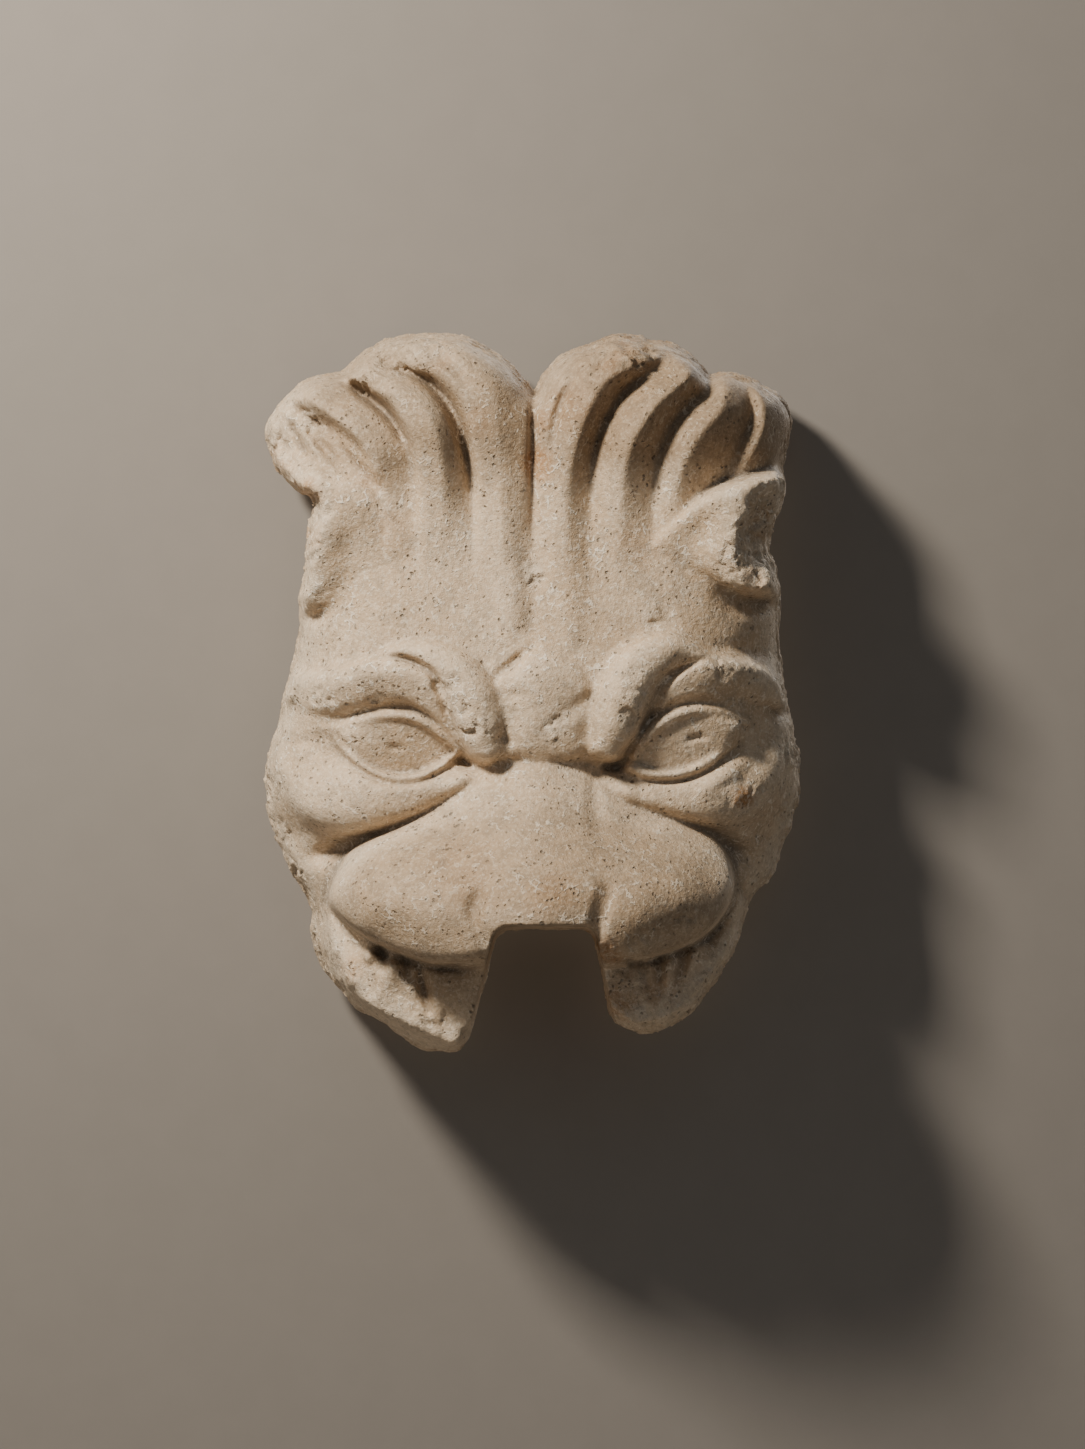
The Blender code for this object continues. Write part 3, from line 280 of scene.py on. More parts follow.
# Places where the stone is chipped or broken, as (x, z, radius, depth)
BREAKS = [
    (44, 187, 11, 3), (60, 188, 10, 3), (-78, 186, 12, 2.5), (-60, 190, 12, 2), (-94, 176, 8, 2.5),
    (-125, 148, 9, 2), (-140, 135, 8, 2), (-121, 102, 8, 2.5), (-124, 82, 8, 2), (-122, 58, 6, 1.5),
    (127, 97, 11, 3), (127, 66, 9, 2.5), (136, 113, 6, 1.5), (138, 85, 6, 2), (70, 42, 8, 0.6),
    (0, 66, 7, 1), (-117, -3, 6, 1.5), (-88, -4, 5, 1.2), (-45, 4, 7, 1.7), (-43, -9, 6, 1.3),
    (-36, -20, 7, 1.8), (-25, -16, 5, 0.8), (57, 9, 6, 1.2), (60, -2, 6, 1.2), (54, -14, 5, 0.8),
    (104, 14, 6, 0.8), (126, 11, 6, 0.8), (117, -58, 10, 0.9), (12, -21, 7, 0.8),
    (42, -143, 6, 1.5), (60, -143, 7, 0.8), (86, -128, 7, 0.5), (130, 100, 8, 2), (123, 84, 9, 2.5),
    (131, 74, 9, 2.5), (118, 62, 8, 1),
    (-62, -191, 14, 2.5), (-44, -184, 10, 2), (-98, -162, 10, 2), (-80, -172, 13, 2),
    (-110, -140, 7, 1.5),
    (66, -183, 12, 2.5), (92, -166, 9, 1.5), (58, -164, 9, 1), (106, -150, 8, 1.5),
    (-147, -52, 9, 2), (-144, -78, 8, 2), (-134, -102, 8, 2), (-122, -128, 6, 2), (-112, -152, 7, 1.5),
    (147, -34, 8, 2), (146, -66, 8, 2), (138, -92, 6, 1.5), (128, -106, 6, 1.5),
]

# Outline and levels of the muzzle
MUZZLE_LOOP = [
    (-22, -37), (-10, -34), (0, -33), (12, -33.5), (25, -37), (32, -43), (40, -52), (50, -60),
    (65, -66),
    (80, -70), (92, -75.5), (102, -82), (109, -92), (112, -104), (110, -116), (105, -125), (98, -132.5),
    (88, -139), (76, -144), (62, -147.5), (48, -147.5), (34, -147), (5, -150), (-25, -149),
    (-40, -150.5),
    (-56, -150), (-70, -146), (-81, -141.5), (-90, -137), (-100, -131), (-107, -124), (-112, -116),
    (-111, -107), (-107, -98), (-102, -90), (-92, -83), (-80, -78), (-65, -71), (-52, -64),
    (-40, -55), (-31, -46),
]
MUZZLE_LEVELS = [
    (0, -38, 105), (0, -60, 119), (0, -80, 136), (0, -100, 151), (0, -120, 161), (0, -138, 161),
    (26, -46, 102), (30, -70, 119), (32, -100, 144), (32, -122, 155),
    (60, -72, 104), (60, -90, 127), (60, -110, 146), (60, -130, 150), (55, -145, 147),
    (90, -80, 96), (90, -100, 121), (90, -120, 133), (84, -138, 129),
    (106, -95, 98), (112, -108, 106), (108, -120, 114),
]


# Small grooves in the locks and the fronts of their ends, as (x, z, half width, height)
LOCK_DETAILS = [
    [(11, 136, 2, -1), (12.5, 148, 3.2, -5), (15.5, 160, 3.5, -7), (19, 168, 3.5, -5),
     (25, 177, 3, -1)],
    [(38, 170, 9, 0), (50, 178, 11, 6), (61, 183, 10, 8), (69, 187, 7, 6)],
    [(84, 168, 8, 0), (90, 176, 9, 4), (93, 182, 8, 3)],
    [(-71, 140, 3, -5), (-76, 149.5, 4.5, -13), (-83, 158, 5.5, -19), (-90, 164, 5.5, -19),
     (-97, 168.5, 5, -13), (-103, 171.5, 3, -4)],
    [(-78, 170, 4, -1), (-85, 172, 6, -5), (-93, 174.5, 5, -4), (-98, 176, 3, -1)],
    [(-89, 127, 3, -2), (-99, 138, 4.5, -7), (-109, 146.5, 5, -9), (-118, 153, 4, -5),
     (-125, 157, 3, -1)],
    [(-98, 118, 3, -1), (-107, 127, 4, -5), (-115, 135, 4.5, -8), (-121, 143, 4, -6),
     (-126, 150, 3, -2)],
    [(-113, 118, 3, -1), (-122, 127, 3.5, -5), (-129, 137, 4, -7), (-133, 147, 3, -3)],
    [(-128, 122, 3, -1), (-134, 133, 4.5, -6), (-139, 143, 4.5, -7), (-143, 151, 3, -3)],
    [(-68, 160, 8, 0), (-80, 169, 9, 5), (-92, 176, 8, 6), (-99, 178, 6, 4)],
    [(-60, 190, 5, -2), (-50, 186, 5, -4), (-41, 178, 4, -3), (-36, 170, 3, -1)],
    [(-16, 118, 9, 1), (-16, 90, 12, 2.5), (-14, 65, 13, 2), (-12, 46, 12, 2.5), (-13, 32, 9, 3)],
    [(17, 110, 9, 1), (18, 80, 14, 3), (20, 52, 14, 3), (22, 34, 11, 2)],
    [(0.5, 172, 4, -5), (0.5, 150, 4, -4), (0.5, 120, 5, -3), (0.5, 90, 9, -2), (0.5, 60, 11, -1.5),
     (1, 36, 7, -1.5)],
    [(-74, 181, 3, -3), (-64, 176, 4, -9), (-54, 169, 5, -13), (-46, 158, 5, -13), (-40, 144, 5, -10),
     (-36, 127, 4, -5), (-34, 112, 3, -2)],
]


def mane(sheet, reach):
    """The locks: between each two valleys the stone rises to a crest."""
    cleft = [(0.5, -60), (0.5, 60), (0.5, 120), (1, 168), (1, 215)]
    right = [
        cleft,
        [
            (33, 20), (33, 80), (32.5, 105), (33, 125), (37, 143), (44, 157), (52, 168), (61, 176),
            (70, 182), (73, 190), (70, 200), (66, 225),
        ],
        [
            (67, 20), (67, 95), (67.5, 112), (69, 125), (73, 138), (79, 150), (88, 160), (97, 168),
            (100, 176), (103, 188), (108, 215),
        ],
        [
            (97, 60), (102, 108), (107, 120), (112, 131), (117, 141), (121.5, 150), (122.5, 160),
            (120, 169), (118, 178), (120, 200),
        ],
        [(130, 80), (135, 122), (138, 132), (140, 142), (141, 152), (138, 162), (134, 170), (136, 190)],
        [(150, 80), (152, 120), (153, 140), (154, 160), (152, 180), (150, 200)],
    ]
    left = [
        cleft,
        [
            (-32, 20), (-32.5, 95), (-33, 108), (-34, 120), (-37, 137), (-42, 156), (-49, 166),
            (-58, 173.5), (-66, 177.5), (-78, 183), (-88, 195), (-95, 215),
        ],
        [
            (-65, 20), (-65, 95), (-66, 115), (-68, 131), (-71, 141), (-75.5, 149), (-82, 157),
            (-90, 164), (-97, 168.5), (-103, 172), (-107, 180), (-112, 200),
        ],
        [
            (-80, 60), (-84, 105), (-90.8, 118), (-98.5, 128), (-108, 139), (-117.6, 148.8),
            (-127, 155), (-135, 161), (-143, 168), (-158, 182),
        ],
        [
            (-100, 60), (-110, 112), (-118, 122), (-125, 131), (-130, 140), (-134, 147), (-140, 153),
            (-150, 160), (-165, 168),
        ],
        [(-112, 60), (-126, 116), (-133, 124), (-138, 133), (-142, 141), (-150, 147), (-165, 152)],
        [(-125, 60), (-139, 105), (-148, 118), (-156, 130), (-170, 136)],
    ]
    # where across each lock its crest lies, low and high up, the most that it rises, how far its inner
    # valley is filled, and how square its outer side is
    right_crests = [
        (0.58, 0.74, 17, 0.6, 0), (0.5, 0.56, 19, 0, 0), (0.38, 0.42, 18, 0, 0), (0.34, 0.38, 14, 0, 0),
        (0.5, 0.5, 8, 0, 0),
    ]
    left_crests = [
        (0.52, 0.5, 18, 0.62, 0.6), (0.5, 0.45, 21, 0, 0.7), (0.8, 0.7, 18, 0, 0.3),
        (0.6, 0.6, 14, 0, 0.3),
        (0.55, 0.55, 10, 0, 0), (0.5, 0.5, 8, 0, 0),
    ]
    for family, crests, sign in ((right, right_crests, 1), (left, left_crests, -1)):
        w = (slice(None), sheet.z > 20)
        X, Z = sheet.X[w], sheet.Z[w]
        gaps = []
        for rows in family:
            path = smooth_line(rows, 4)
            d, side, _ = sheet.measure(path, w)
            gaps.append(d * -side * sign)
        relief = np.zeros_like(X)
        up = soft_step((Z - 95) / 70)
        for inner, outer, (low, high, tall, fill, square) in zip(gaps[:-1], gaps[1:], crests):
            between = (inner > 0) & (outer <= 0)
            a, b = np.abs(inner), np.abs(outer)
            width = a + b
            r = a / np.maximum(width, 1e-6)
            crest = low + (high - low) * up
            falling = (1 - square) * (1 - r) / (1 - crest) + square * np.minimum(1, (1 - r) / 0.14)
            tent = np.where(r < crest, r / crest, falling)
            form = 1 - (1 - tent) ** 1.25
            form = np.where(r < crest, fill + (1 - fill) * form, form)
            relief[between] = (form * np.minimum(width * 0.62, tall))[between]
        fade = soft_step((Z - (48 + 0.12 * np.abs(X))) / 112)
        fade *= soft_step(reach[w] / 7)
        sheet.H[w] += np.where(X * sign > 0, (relief - 5) * fade, 0)
    sheet.ridges(LOCK_DETAILS)


# How the stump of the left ear swells and is broken
LEFT_EAR_BREAKS = [
    [(-121, 118, 10, 1), (-119, 100, 14, 2), (-117, 82, 18, 4), (-117, 66, 15, 5), (-122, 54, 10, 5)],
    [(-124, 112, 4, -3), (-121, 100, 5, -7), (-122, 88, 4, -4)],
    [(-131, 42, 5, -6), (-121, 41, 5, -10), (-113, 45, 5, -5), (-105, 52, 5, -1)],
]

# Where the front edge of the right ear is broken out
RIGHT_EAR_BREAKS = [
    [(134, 114, 6, -2), (129, 104, 9, -6), (126, 94, 10, -9), (126, 84, 10, -10), (129, 74, 8, -5)],
    [(142, 104, 7, -5), (138, 92, 8, -8), (138, 80, 8, -6)],
    [(119, 95, 3, -2), (118, 90, 4, -6), (119, 84, 3, -3)],
    [(104, 54, 7, -2), (118, 48, 9, -6), (132, 50, 7, -6), (139, 54, 5, -4)],
]


def ears(s):
    """The left ear is a broken stump, the right ear a leaf with its front edge broken out."""
    s.pillow(
        [
            (-64, 84), (-74, 96), (-86, 108), (-98, 115.5), (-110, 119.5), (-121, 122), (-128, 112),
            (-130, 90), (-130, 70), (-132, 52), (-121, 47), (-110, 56), (-101, 66), (-90, 70),
            (-76, 74),
        ],
        [
            (-70, 84, 88), (-84, 102, 91), (-98, 111, 94), (-114, 117, 92), (-88, 90, 89),
            (-92, 78, 86), (-104, 66, 82), (-104, 96, 93), (-118, 80, 86), (-120, 56, 76),
        ],
        edge=10, drop=4, blend=12, steep=1.5,
    )
    s.ridges(LEFT_EAR_BREAKS)
    s.pillow(
        [
            (67, 82), (79, 95), (92, 106.5), (105, 113.5), (119, 117.5), (133, 120), (143, 118),
            (141, 108), (138, 96), (135, 85), (135, 74), (139, 64), (137, 57), (124, 55), (112, 58),
            (100, 64), (84, 72),
        ],
        [
            (74, 86, 93), (84, 98, 97), (98, 110, 103), (112, 117, 106), (124, 120, 105),
            (137, 119, 97), (137, 105, 86), (118, 104, 107), (114, 92, 106), (112, 80, 104),
            (98, 92, 97), (92, 76, 93), (110, 66, 98), (124, 66, 99), (134, 63, 92), (130, 80, 86),
        ],
        edge=6, drop=6, blend=6, steep=8,
    )
    s.ridges(RIGHT_EAR_BREAKS)


# Creases and lumps of the boss between the brows
BOSS_CREASES = [
    [(-22, 6, 4, -1), (-17, 11, 4.5, -4), (-9, 17.5, 4.5, -6), (-3, 23, 4, -3), (2, 28, 3, -1)],
    [(-19, -1, 3, -1), (-10, -1.5, 4, -2), (-2, -1, 3, -0.5)],
    [(16, -11, 4, -0.5), (23, -8, 5, -1.5), (29, -4.5, 5.5, -2), (34, 0, 4, -1.5)],
    [(16, -17, 7, 0.5), (25, -17, 8, 1.5), (33, -14, 6, 0.5)],
    [(-18, -25, 4, -2), (-12, -27, 4, -1.5), (-5, -27, 3, -0.5)],
    [(-27, -40, 4, -3), (-16, -40, 4, -2.5), (0, -40, 4, -1), (16, -40, 4, -1.5), (33, -39, 4, -3)],
]


def brows(s):
    """The outer folds over the eyes, the hooked inner brows and the boss between them."""
    s.roll([
        (-130, 2, 9, 66), (-120, 0, 12, 84), (-108, 0, 13, 95), (-94, 3.5, 13, 101.5),
        (-79, 6, 12.5, 105), (-66, 4, 11, 106.5), (-55, -4, 8.5, 106.5), (-47, -13, 6.5, 105),
        (-40, -23, 5, 103),
    ], above=30, below=3, steep=5)
    s.roll([
        (52, -12, 7.5, 101), (66, -2.5, 8, 103.5), (82, 8, 10.5, 105.5), (96, 10, 11.5, 103),
        (110, 8, 12, 96), (123, 4, 10.5, 84), (135, -1, 7, 66),
    ], above=22, below=7, steep=4)
    s.ridge([(96, 17, 4, 0.5), (106, 15, 5, 1.5), (118, 13, 5, 1.5), (130, 11, 4, 1)])
    s.ridge([(98, 25, 7, -1), (112, 23, 7, -2), (128, 20, 6, -2)])
    # inner brows, each a hooked curl
    s.roll([
        (-79, 20, 3, 102), (-69, 20, 7, 106), (-57, 17, 10.5, 111), (-45, 10, 13, 115),
        (-36, 0, 14.5, 118), (-31.5, -11, 14.5, 119), (-28, -22, 12.5, 119), (-25.5, -30, 9.5, 116),
    ], above=16, below=5, steep=4)
    s.roll([
        (92, 21, 3, 103), (86, 23, 6, 106), (77, 23.5, 9.5, 110), (67, 19, 12, 113),
        (58, 11, 13.5, 115), (52, 0, 15, 116.5), (48, -10, 14.5, 117), (44.5, -20, 13, 116.5),
        (41, -28, 9.5, 114),
    ], above=5, below=14, steep=3)
    s.ridge([
        (-80, 20.5, 2.5, -2), (-72, 19, 3, -6), (-63, 15.5, 3.5, -8), (-55.5, 10, 3.5, -8),
        (-51, 1, 4, -6), (-47, -11, 4, -4), (-42, -22, 3, -2),
    ])
    s.ridge([
        (93, 17.5, 2.5, -2), (86, 14.5, 3, -6), (78, 10, 4, -7), (72, 3, 5, -6), (68, -6, 5, -5),
        (62, -17, 5, -3),
    ])
    # boss between the brows, with its lumps
    s.pillow(
        [
            (-18, 8), (-9, 17), (0, 23), (12, 22), (24, 14), (31, 3), (32, -9), (32, -22), (28, -34),
            (13, -38), (-4, -37.5), (-17, -35), (-16, -20), (-19, -5),
        ],
        [
            (2, 7, 113), (4, 19, 109), (22, 6, 109), (-12, 4, 111), (6, -8, 113), (26, -12, 110),
            (-10, -12, 111.5), (4, -22, 112), (26, -27, 110), (-12, -27, 111), (4, -33, 110),
        ],
        edge=14, drop=6, blend=14, steep=1,
    )
    s.ridges(BOSS_CREASES)


# The cut pupils and the deep inner corners of the eyes
EYE_CUTS = [
    [(-80, -31, 1.6, -1), (-75.5, -30.3, 2, -3), (-71, -30.8, 1.6, -1.5)],
    [(85, -27.5, 1.8, -1.2), (91, -24.8, 2.2, -3.4), (97, -25, 1.8, -1.5)],
    [(-30, -38, 5, -4), (-36, -39, 5, -9), (-44, -37, 4, -4)],
    [(38, -38, 5, -5), (45, -41, 6, -10), (54, -38, 4, -3)],
]


def eyes(s):
    """Fuller stone round the right eye, then the lids and the eyes themselves."""
    s.ridge([(96, -53, 9, 2), (110, -42, 10, 5), (121, -30, 10, 5), (128, -19, 8, 3)])
    s.ridge([(74, -9, 5, 3), (86, -3.5, 6, 5), (100, -3.5, 6, 5), (114, -8, 6, 4)])
    s.roll([
        (-117, -20, 2, 78), (-106, -19.5, 2.6, 89), (-95, -16, 2.8, 94.5), (-85, -13.4, 2.9, 97),
        (-75, -12.6, 2.9, 98.5), (-66, -14, 2.9, 99.5), (-58, -18, 2.9, 99.5), (-50, -24, 2.7, 98.5),
        (-42, -31, 2.2, 96),
    ], above=2, below=1, steep=5)
    s.roll([
        (-110, -23, 1.8, 84), (-104, -31, 2.2, 89), (-97, -38, 2.5, 94), (-88, -43.7, 2.8, 96.5),
        (-78, -46.7, 2.9, 98), (-67, -46.8, 2.9, 98.5), (-58, -44.3, 2.8, 98.5), (-50, -39.7, 2.5, 97),
        (-42, -33, 2.2, 94.5),
    ], above=1, below=3, steep=5)
    s.roll([
        (57, -36, 2, 101), (63, -27, 2.6, 103), (71, -18.5, 3, 104), (80, -13, 3.2, 103.5),
        (90, -10.3, 3.2, 101), (101, -10.5, 3, 96), (110, -13, 2.6, 90), (119, -16.5, 2, 82),
    ], above=2, below=1, steep=5)
    s.roll([
        (55, -41, 2.2, 101), (62, -44.3, 2.7, 101.5), (72, -45.6, 2.9, 101), (82, -44.8, 2.9, 99.5),
        (92, -41.8, 2.9, 97), (100, -37, 2.8, 94), (108, -29.5, 2.5, 90), (115, -21.5, 2.1, 85),
    ], above=1, below=8, steep=3)
    for loop, centre, lean, level in (
        ([
            (-107, -23), (-100, -20.6), (-95, -18.7), (-85, -16.2), (-75, -15.3), (-66, -16.8),
            (-58, -20.8), (-50, -27), (-43, -32.3), (-50, -38), (-58, -42.5), (-67, -45), (-77, -45),
            (-87, -42), (-95, -37.2), (-101, -31),
        ], (-74, -31), (-0.03, 0.24), 92.5),
        ([
            (58, -39), (61, -32), (66, -25.5), (73, -19.5), (81, -15), (91, -12.7), (101, -13),
            (110, -15.6), (116, -18), (112, -24), (106, -30.5), (99, -35.5), (91, -40), (82, -43),
            (73, -43.8), (64, -42.6),
        ], (86, -28), (-0.2, 0.21), 97),
    ):
        ring = smooth_loop(loop)
        w, d = s.inside(ring)
        across = s.X[w] - centre[0]
        up = s.Z[w] - centre[1]
        ball = level - 3.5 * (across / 34) ** 2 - 0.006 * up**2 + lean[0] * across + lean[1] * up
        m = soft_step((d + 0.6) / 1.2)
        s.H[w] = s.H[w] * (1 - m) + ball * m
    s.ridges(EYE_CUTS)


# Creases under the rolls of the cheeks
CHEEK_CREASES = [
    [(-124, -92, 9, -4), (-113, -89, 8, -12), (-98, -82, 6, -9), (-80, -76, 4, -6),
     (-64, -70.5, 3.5, -4), (-50, -63, 3, -1)],
    [(124, -94, 9, -4), (114, -88, 8, -11), (100, -79, 5.5, -8), (84, -72, 4, -5), (68, -67, 3.5, -4),
     (54, -62, 3, -1)],
    [(-146, -20, 6, -3), (-132, -27, 6, -3), (-118, -26, 4, -2)],
    [(-50, -56, 8, 3), (-40, -52, 9, 8), (-30, -47, 8, 8)],
    [(52, -56, 9, 3), (42, -52, 10, 4), (32, -47, 9, 4)],
]


def cheeks(s):
    """The full rolls under the eyes, and the creases that part them from the muzzle."""
    s.roll([
        (-137, -28, 9, 50), (-129, -42, 14, 68), (-117, -54, 19, 87), (-101, -60, 19, 98),
        (-84, -61, 16, 101), (-67, -58.5, 12, 101), (-52, -54, 9, 98), (-40, -50, 7, 94),
    ], above=26, below=7, steep=3)
    s.roll([
        (134, -22, 8, 58), (129, -36, 14, 73), (118, -49, 18, 88), (102, -57, 17.5, 97),
        (85, -59, 14.5, 100), (68, -56.5, 11, 99.5), (55, -53, 10, 96.5), (44, -50, 9, 91),
    ], above=26, below=7, steep=3)
    s.ridges(CHEEK_CREASES)


# Creases of the nostrils and hollows beside the nose
MUZZLE_CREASES = [
    [(-26, -106, 5, 0), (-29, -113, 7, -4), (-32, -120, 7, -4.5), (-31, -129, 6, -3),
     (-28, -137, 5, -3), (-26, -145, 4, -3)],
    [(43, -102, 7, 0), (41, -111, 8, -3), (39, -119, 8, -4.5), (37, -127, 7, -5), (36, -135, 6, -5)],
    [(34, -48, 5, -1), (34, -60, 7, -3), (37, -74, 9, -3), (42, -88, 9, -1)],
    [(-38, -60, 8, -2), (-41, -74, 10, -3), (-44, -88, 10, -1)],
]


def muzzle(s):
    """The muzzle over the lips, with the pad of the nose."""
    stations = []
    for x, z, level in MUZZLE_LEVELS:
        for sign in ((1, -1) if x else (1,)):
            stations.append((sign * x, z, level))
    shallow = soft_step((-s.Z - 50) / 50)
    s.pillow(MUZZLE_LOOP, stations, edge=8, drop=4 + 6 * shallow, blend=6, steep=30)
    # the pad of the nose
    s.pillow(
        [
            (-27, -108), (-29, -118), (-27, -127), (-20, -134), (5, -140), (32, -136), (39, -126),
            (41, -116), (39, -107), (25, -98), (5, -95), (-14, -98),
        ],
        [
            (5, -96, 149), (5, -110, 157), (5, -124, 164), (-18, -104, 152), (-20, -120, 158),
            (28, -104, 151), (30, -120, 156), (5, -136, 165),
        ],
        edge=14, drop=4, blend=9, steep=1,
    )
    s.ridges(MUZZLE_CREASES)


# What is left of the teeth, under the lip
TEETH = [
    [(-98, -138, 4, -4), (-97, -146, 3, -2)],
    [(-91, -137, 4.5, 5), (-91, -143, 4.5, 7), (-91, -148, 4, 5)],
    [(-84, -140, 4.5, -6), (-83, -147, 5, -7), (-83, -153, 4, -3)],
    [(-78, -144, 4, 3), (-79, -154, 7, 4.5), (-82, -165, 9, 2)],
    [(-71, -146, 4.5, -7), (-70, -153, 4.5, -7), (-68, -161, 4, -4)],
    [(-64, -149, 5, -5), (-62, -159, 6, -8), (-60, -168, 6, -7), (-57, -176, 4, -3)],
    [(-50, -150, 7, -2), (-48, -157, 6, -1)],
    [(104, -128, 5, -4), (99, -138, 5, -4)],
    [(92, -136, 4, 3), (90, -148, 4, 3), (86, -158, 3, 1)],
    [(84, -141, 5, -5), (83, -152, 5, -5), (80, -162, 4, -2)],
    [(77, -143, 3.5, 3), (76, -154, 3.5, 3), (76, -164, 3, 1)],
    [(70, -145, 4.5, -6), (70, -156, 4.5, -5), (71, -166, 4, -2)],
    [(60, -146, 5, -4), (62, -158, 5, -3), (66, -168, 4, -2)],
    [(50, -147, 6, -5), (51, -153, 6, -3), (54, -160, 4, -1)],
]


def jaw(s):
    """The two parts of the lower jaw, left and right of the gap."""
    s.pillow(
        [
            (-112, -114), (-113.5, -128), (-112, -140), (-108, -150), (-103, -160), (-97, -168),
            (-89, -175), (-80, -181), (-70, -186), (-58, -191.5), (-47, -196), (-40, -196),
            (-20, -190), (-15, -160), (-15, -135), (-60, -125), (-95, -115),
        ],
        [
            (-108, -128, 72), (-105, -146, 83), (-96, -160, 93), (-80, -175, 101), (-60, -184, 106),
            (-42, -188, 108), (-35, -165, 111), (-60, -157, 107), (-85, -150, 98), (-30, -145, 112),
        ],
        edge=4, drop=5, blend=4,
    )
    s.pillow(
        [
            (113, -110), (116.5, -122), (113, -136), (108.5, -147), (103, -154), (98, -162),
            (92, -170), (84, -177), (74, -183), (62, -185.5), (53, -184), (47, -180), (30, -175),
            (30, -140), (60, -125), (90, -113),
        ],
        [
            (110, -128, 70), (105, -146, 80), (97, -159, 89), (84, -172, 97), (65, -179, 104),
            (48, -174, 106), (42, -157, 104), (62, -157, 99), (85, -147, 90),
        ],
        edge=4, drop=5, blend=4,
    )
    s.ridges(TEETH)


def noise(X, Z, size, seed):
    """Smooth seeded noise between -1 and 1, with lumps of about the given size."""
    rng = np.random.default_rng(seed)
    total = np.zeros(X.shape)
    for octave, share in ((1, 0.65), (2, 0.35)):
        u = (X + 200) / size * octave
        v = (Z + 250) / size * octave
        i = u.astype(int)
        j = v.astype(int)
        u = soft_step(u - i)
        v = soft_step(v - j)
        knots = rng.uniform(-1, 1, (i.max() + 2, j.max() + 2))
        low = knots[i, j] * (1 - u) + knots[i + 1, j] * u
        high = knots[i, j + 1] * (1 - u) + knots[i + 1, j + 1] * u
        total += share * (low * (1 - v) + high * v)
    return total


def broken_places(X, Z):
    """How much is broken away at each place, and how rough it is there, mostly from 0 to 1."""
    depth = np.zeros(X.shape)
    rough = np.zeros(X.shape)
    wander = 4 * noise(X, Z, 9, 5)
    for x, z, radius, away in BREAKS:
        near = soft_step(1.5 - (np.hypot(X - x, Z - z) + wander) / radius)
        depth += near * away
        rough = np.maximum(rough, near * (0.6 + 0.3 * away))
    return depth, rough


def spout_gap(s, width, middle, top, flare_left, flare_right, corner):
    """Signed distance to the edge of the spout gap, positive inside the gap."""
    down = top - s.Z
    left = (s.X - middle + width / 2 + flare_left * down) / np.hypot(1, flare_left)
    right = (middle + width / 2 + flare_right * down - s.X) / np.hypot(1, flare_right)
    return smooth_min(smooth_min(left, right, corner), down, corner)


def carve(step, gap):
    """The whole front as a sheet of levels, with the edges and the spout gap cut."""
    s = Sheet(step)
    _, reach = s.inside(smooth_loop(OUTLINE), (slice(None), slice(None)))
    s.H = levels(GROUND, s.X, s.Z, mirror=True)
    rolled_back(s, reach)
    mane(s, reach)
    ears(s)
    cheeks(s)
    upper = soft_step((s.Z - 45) / 40)
    s.H = soften(s.H, 1.8 / step) * (1 - upper) + soften(s.H, 0.6 / step) * upper
    brows(s)
    eyes(s)
    jaw(s)
    muzzle(s)
    s.H = soften(s.H, 0.8 / step)
    away, rough = broken_places(s.X, s.Z)
    s.H -= away * (0.35 + np.abs(noise(s.X, s.Z, 12, 7)) * 1.2)
    s.H += rough**2 * noise(s.X, s.Z, 11, 8) * 1.1 + 0.5 * noise(s.X, s.Z, 26, 9)
    ragged = 0.5 * noise(s.X, s.Z, 14, 10) + rough * (noise(s.X, s.Z, 7, 11) - 0.4)
    cut_to_outline(s, reach + ragged)
    s.gap = spout_gap(s, *gap) + 0.6 * noise(s.X, s.Z, 15, 12)
    s.H = smooth_min(s.H, -GAP_STEEPNESS * s.gap, 5)
    s.H = np.maximum(s.H, -BEHIND)
    s.rough = rough
    s.reach = reach
    return s


def front_mesh(sheet, unit, forward):
    """The sheet of levels as a mesh in metres. What is nearer the eye is drawn larger, so it shrinks."""
    nearer = 1 - sheet.H / EYE_DISTANCE
    x = (EYE_X + (sheet.X - EYE_X) * nearer) * unit
    z = (EYE_Z + (sheet.Z - EYE_Z) * nearer) * unit
    points = np.stack([x, -sheet.H * forward, z], axis=-1).reshape(-1, 3)
    columns, rows = sheet.H.shape
    index = np.arange(columns * rows).reshape(columns, rows)
    corners = [index[:-1, :-1], index[1:, :-1], index[1:, 1:], index[:-1, 1:]]
    faces = np.stack(corners, axis=-1).reshape(-1, 4)
    mesh = bpy.data.meshes.new("front")
    mesh.from_pydata(points.tolist(), [], faces.tolist())
    mesh.update()
    return mesh


def through_modifier(mesh, kind, **settings):
    """The mesh after one modifier with the given settings."""
    carrier = bpy.data.objects.new("carrier", mesh)
    bpy.context.scene.collection.objects.link(carrier)
    modifier = carrier.modifiers.new("Shape", kind)
    for name, value in settings.items():
        setattr(modifier, name, value)
    bpy.context.view_layer.update()
    seen = carrier.evaluated_get(bpy.context.evaluated_depsgraph_get())
    result = bpy.data.meshes.new_from_object(seen)
    bpy.data.objects.remove(carrier)
    return result


def thinned(mesh, count):
    """The mesh with its triangles collapsed to about the given count."""
    triangles = sum(len(face.vertices) - 2 for face in mesh.polygons)
    ratio = min(1.0, count / triangles)
    return through_modifier(mesh, "DECIMATE", ratio=ratio, use_collapse_triangulate=True)


# How near the back plane a point counts as on it, and the shortest edge that the rim keeps, in metres
BACK_NEAR = 0.00002
RIM_SHORTEST = 0.0002


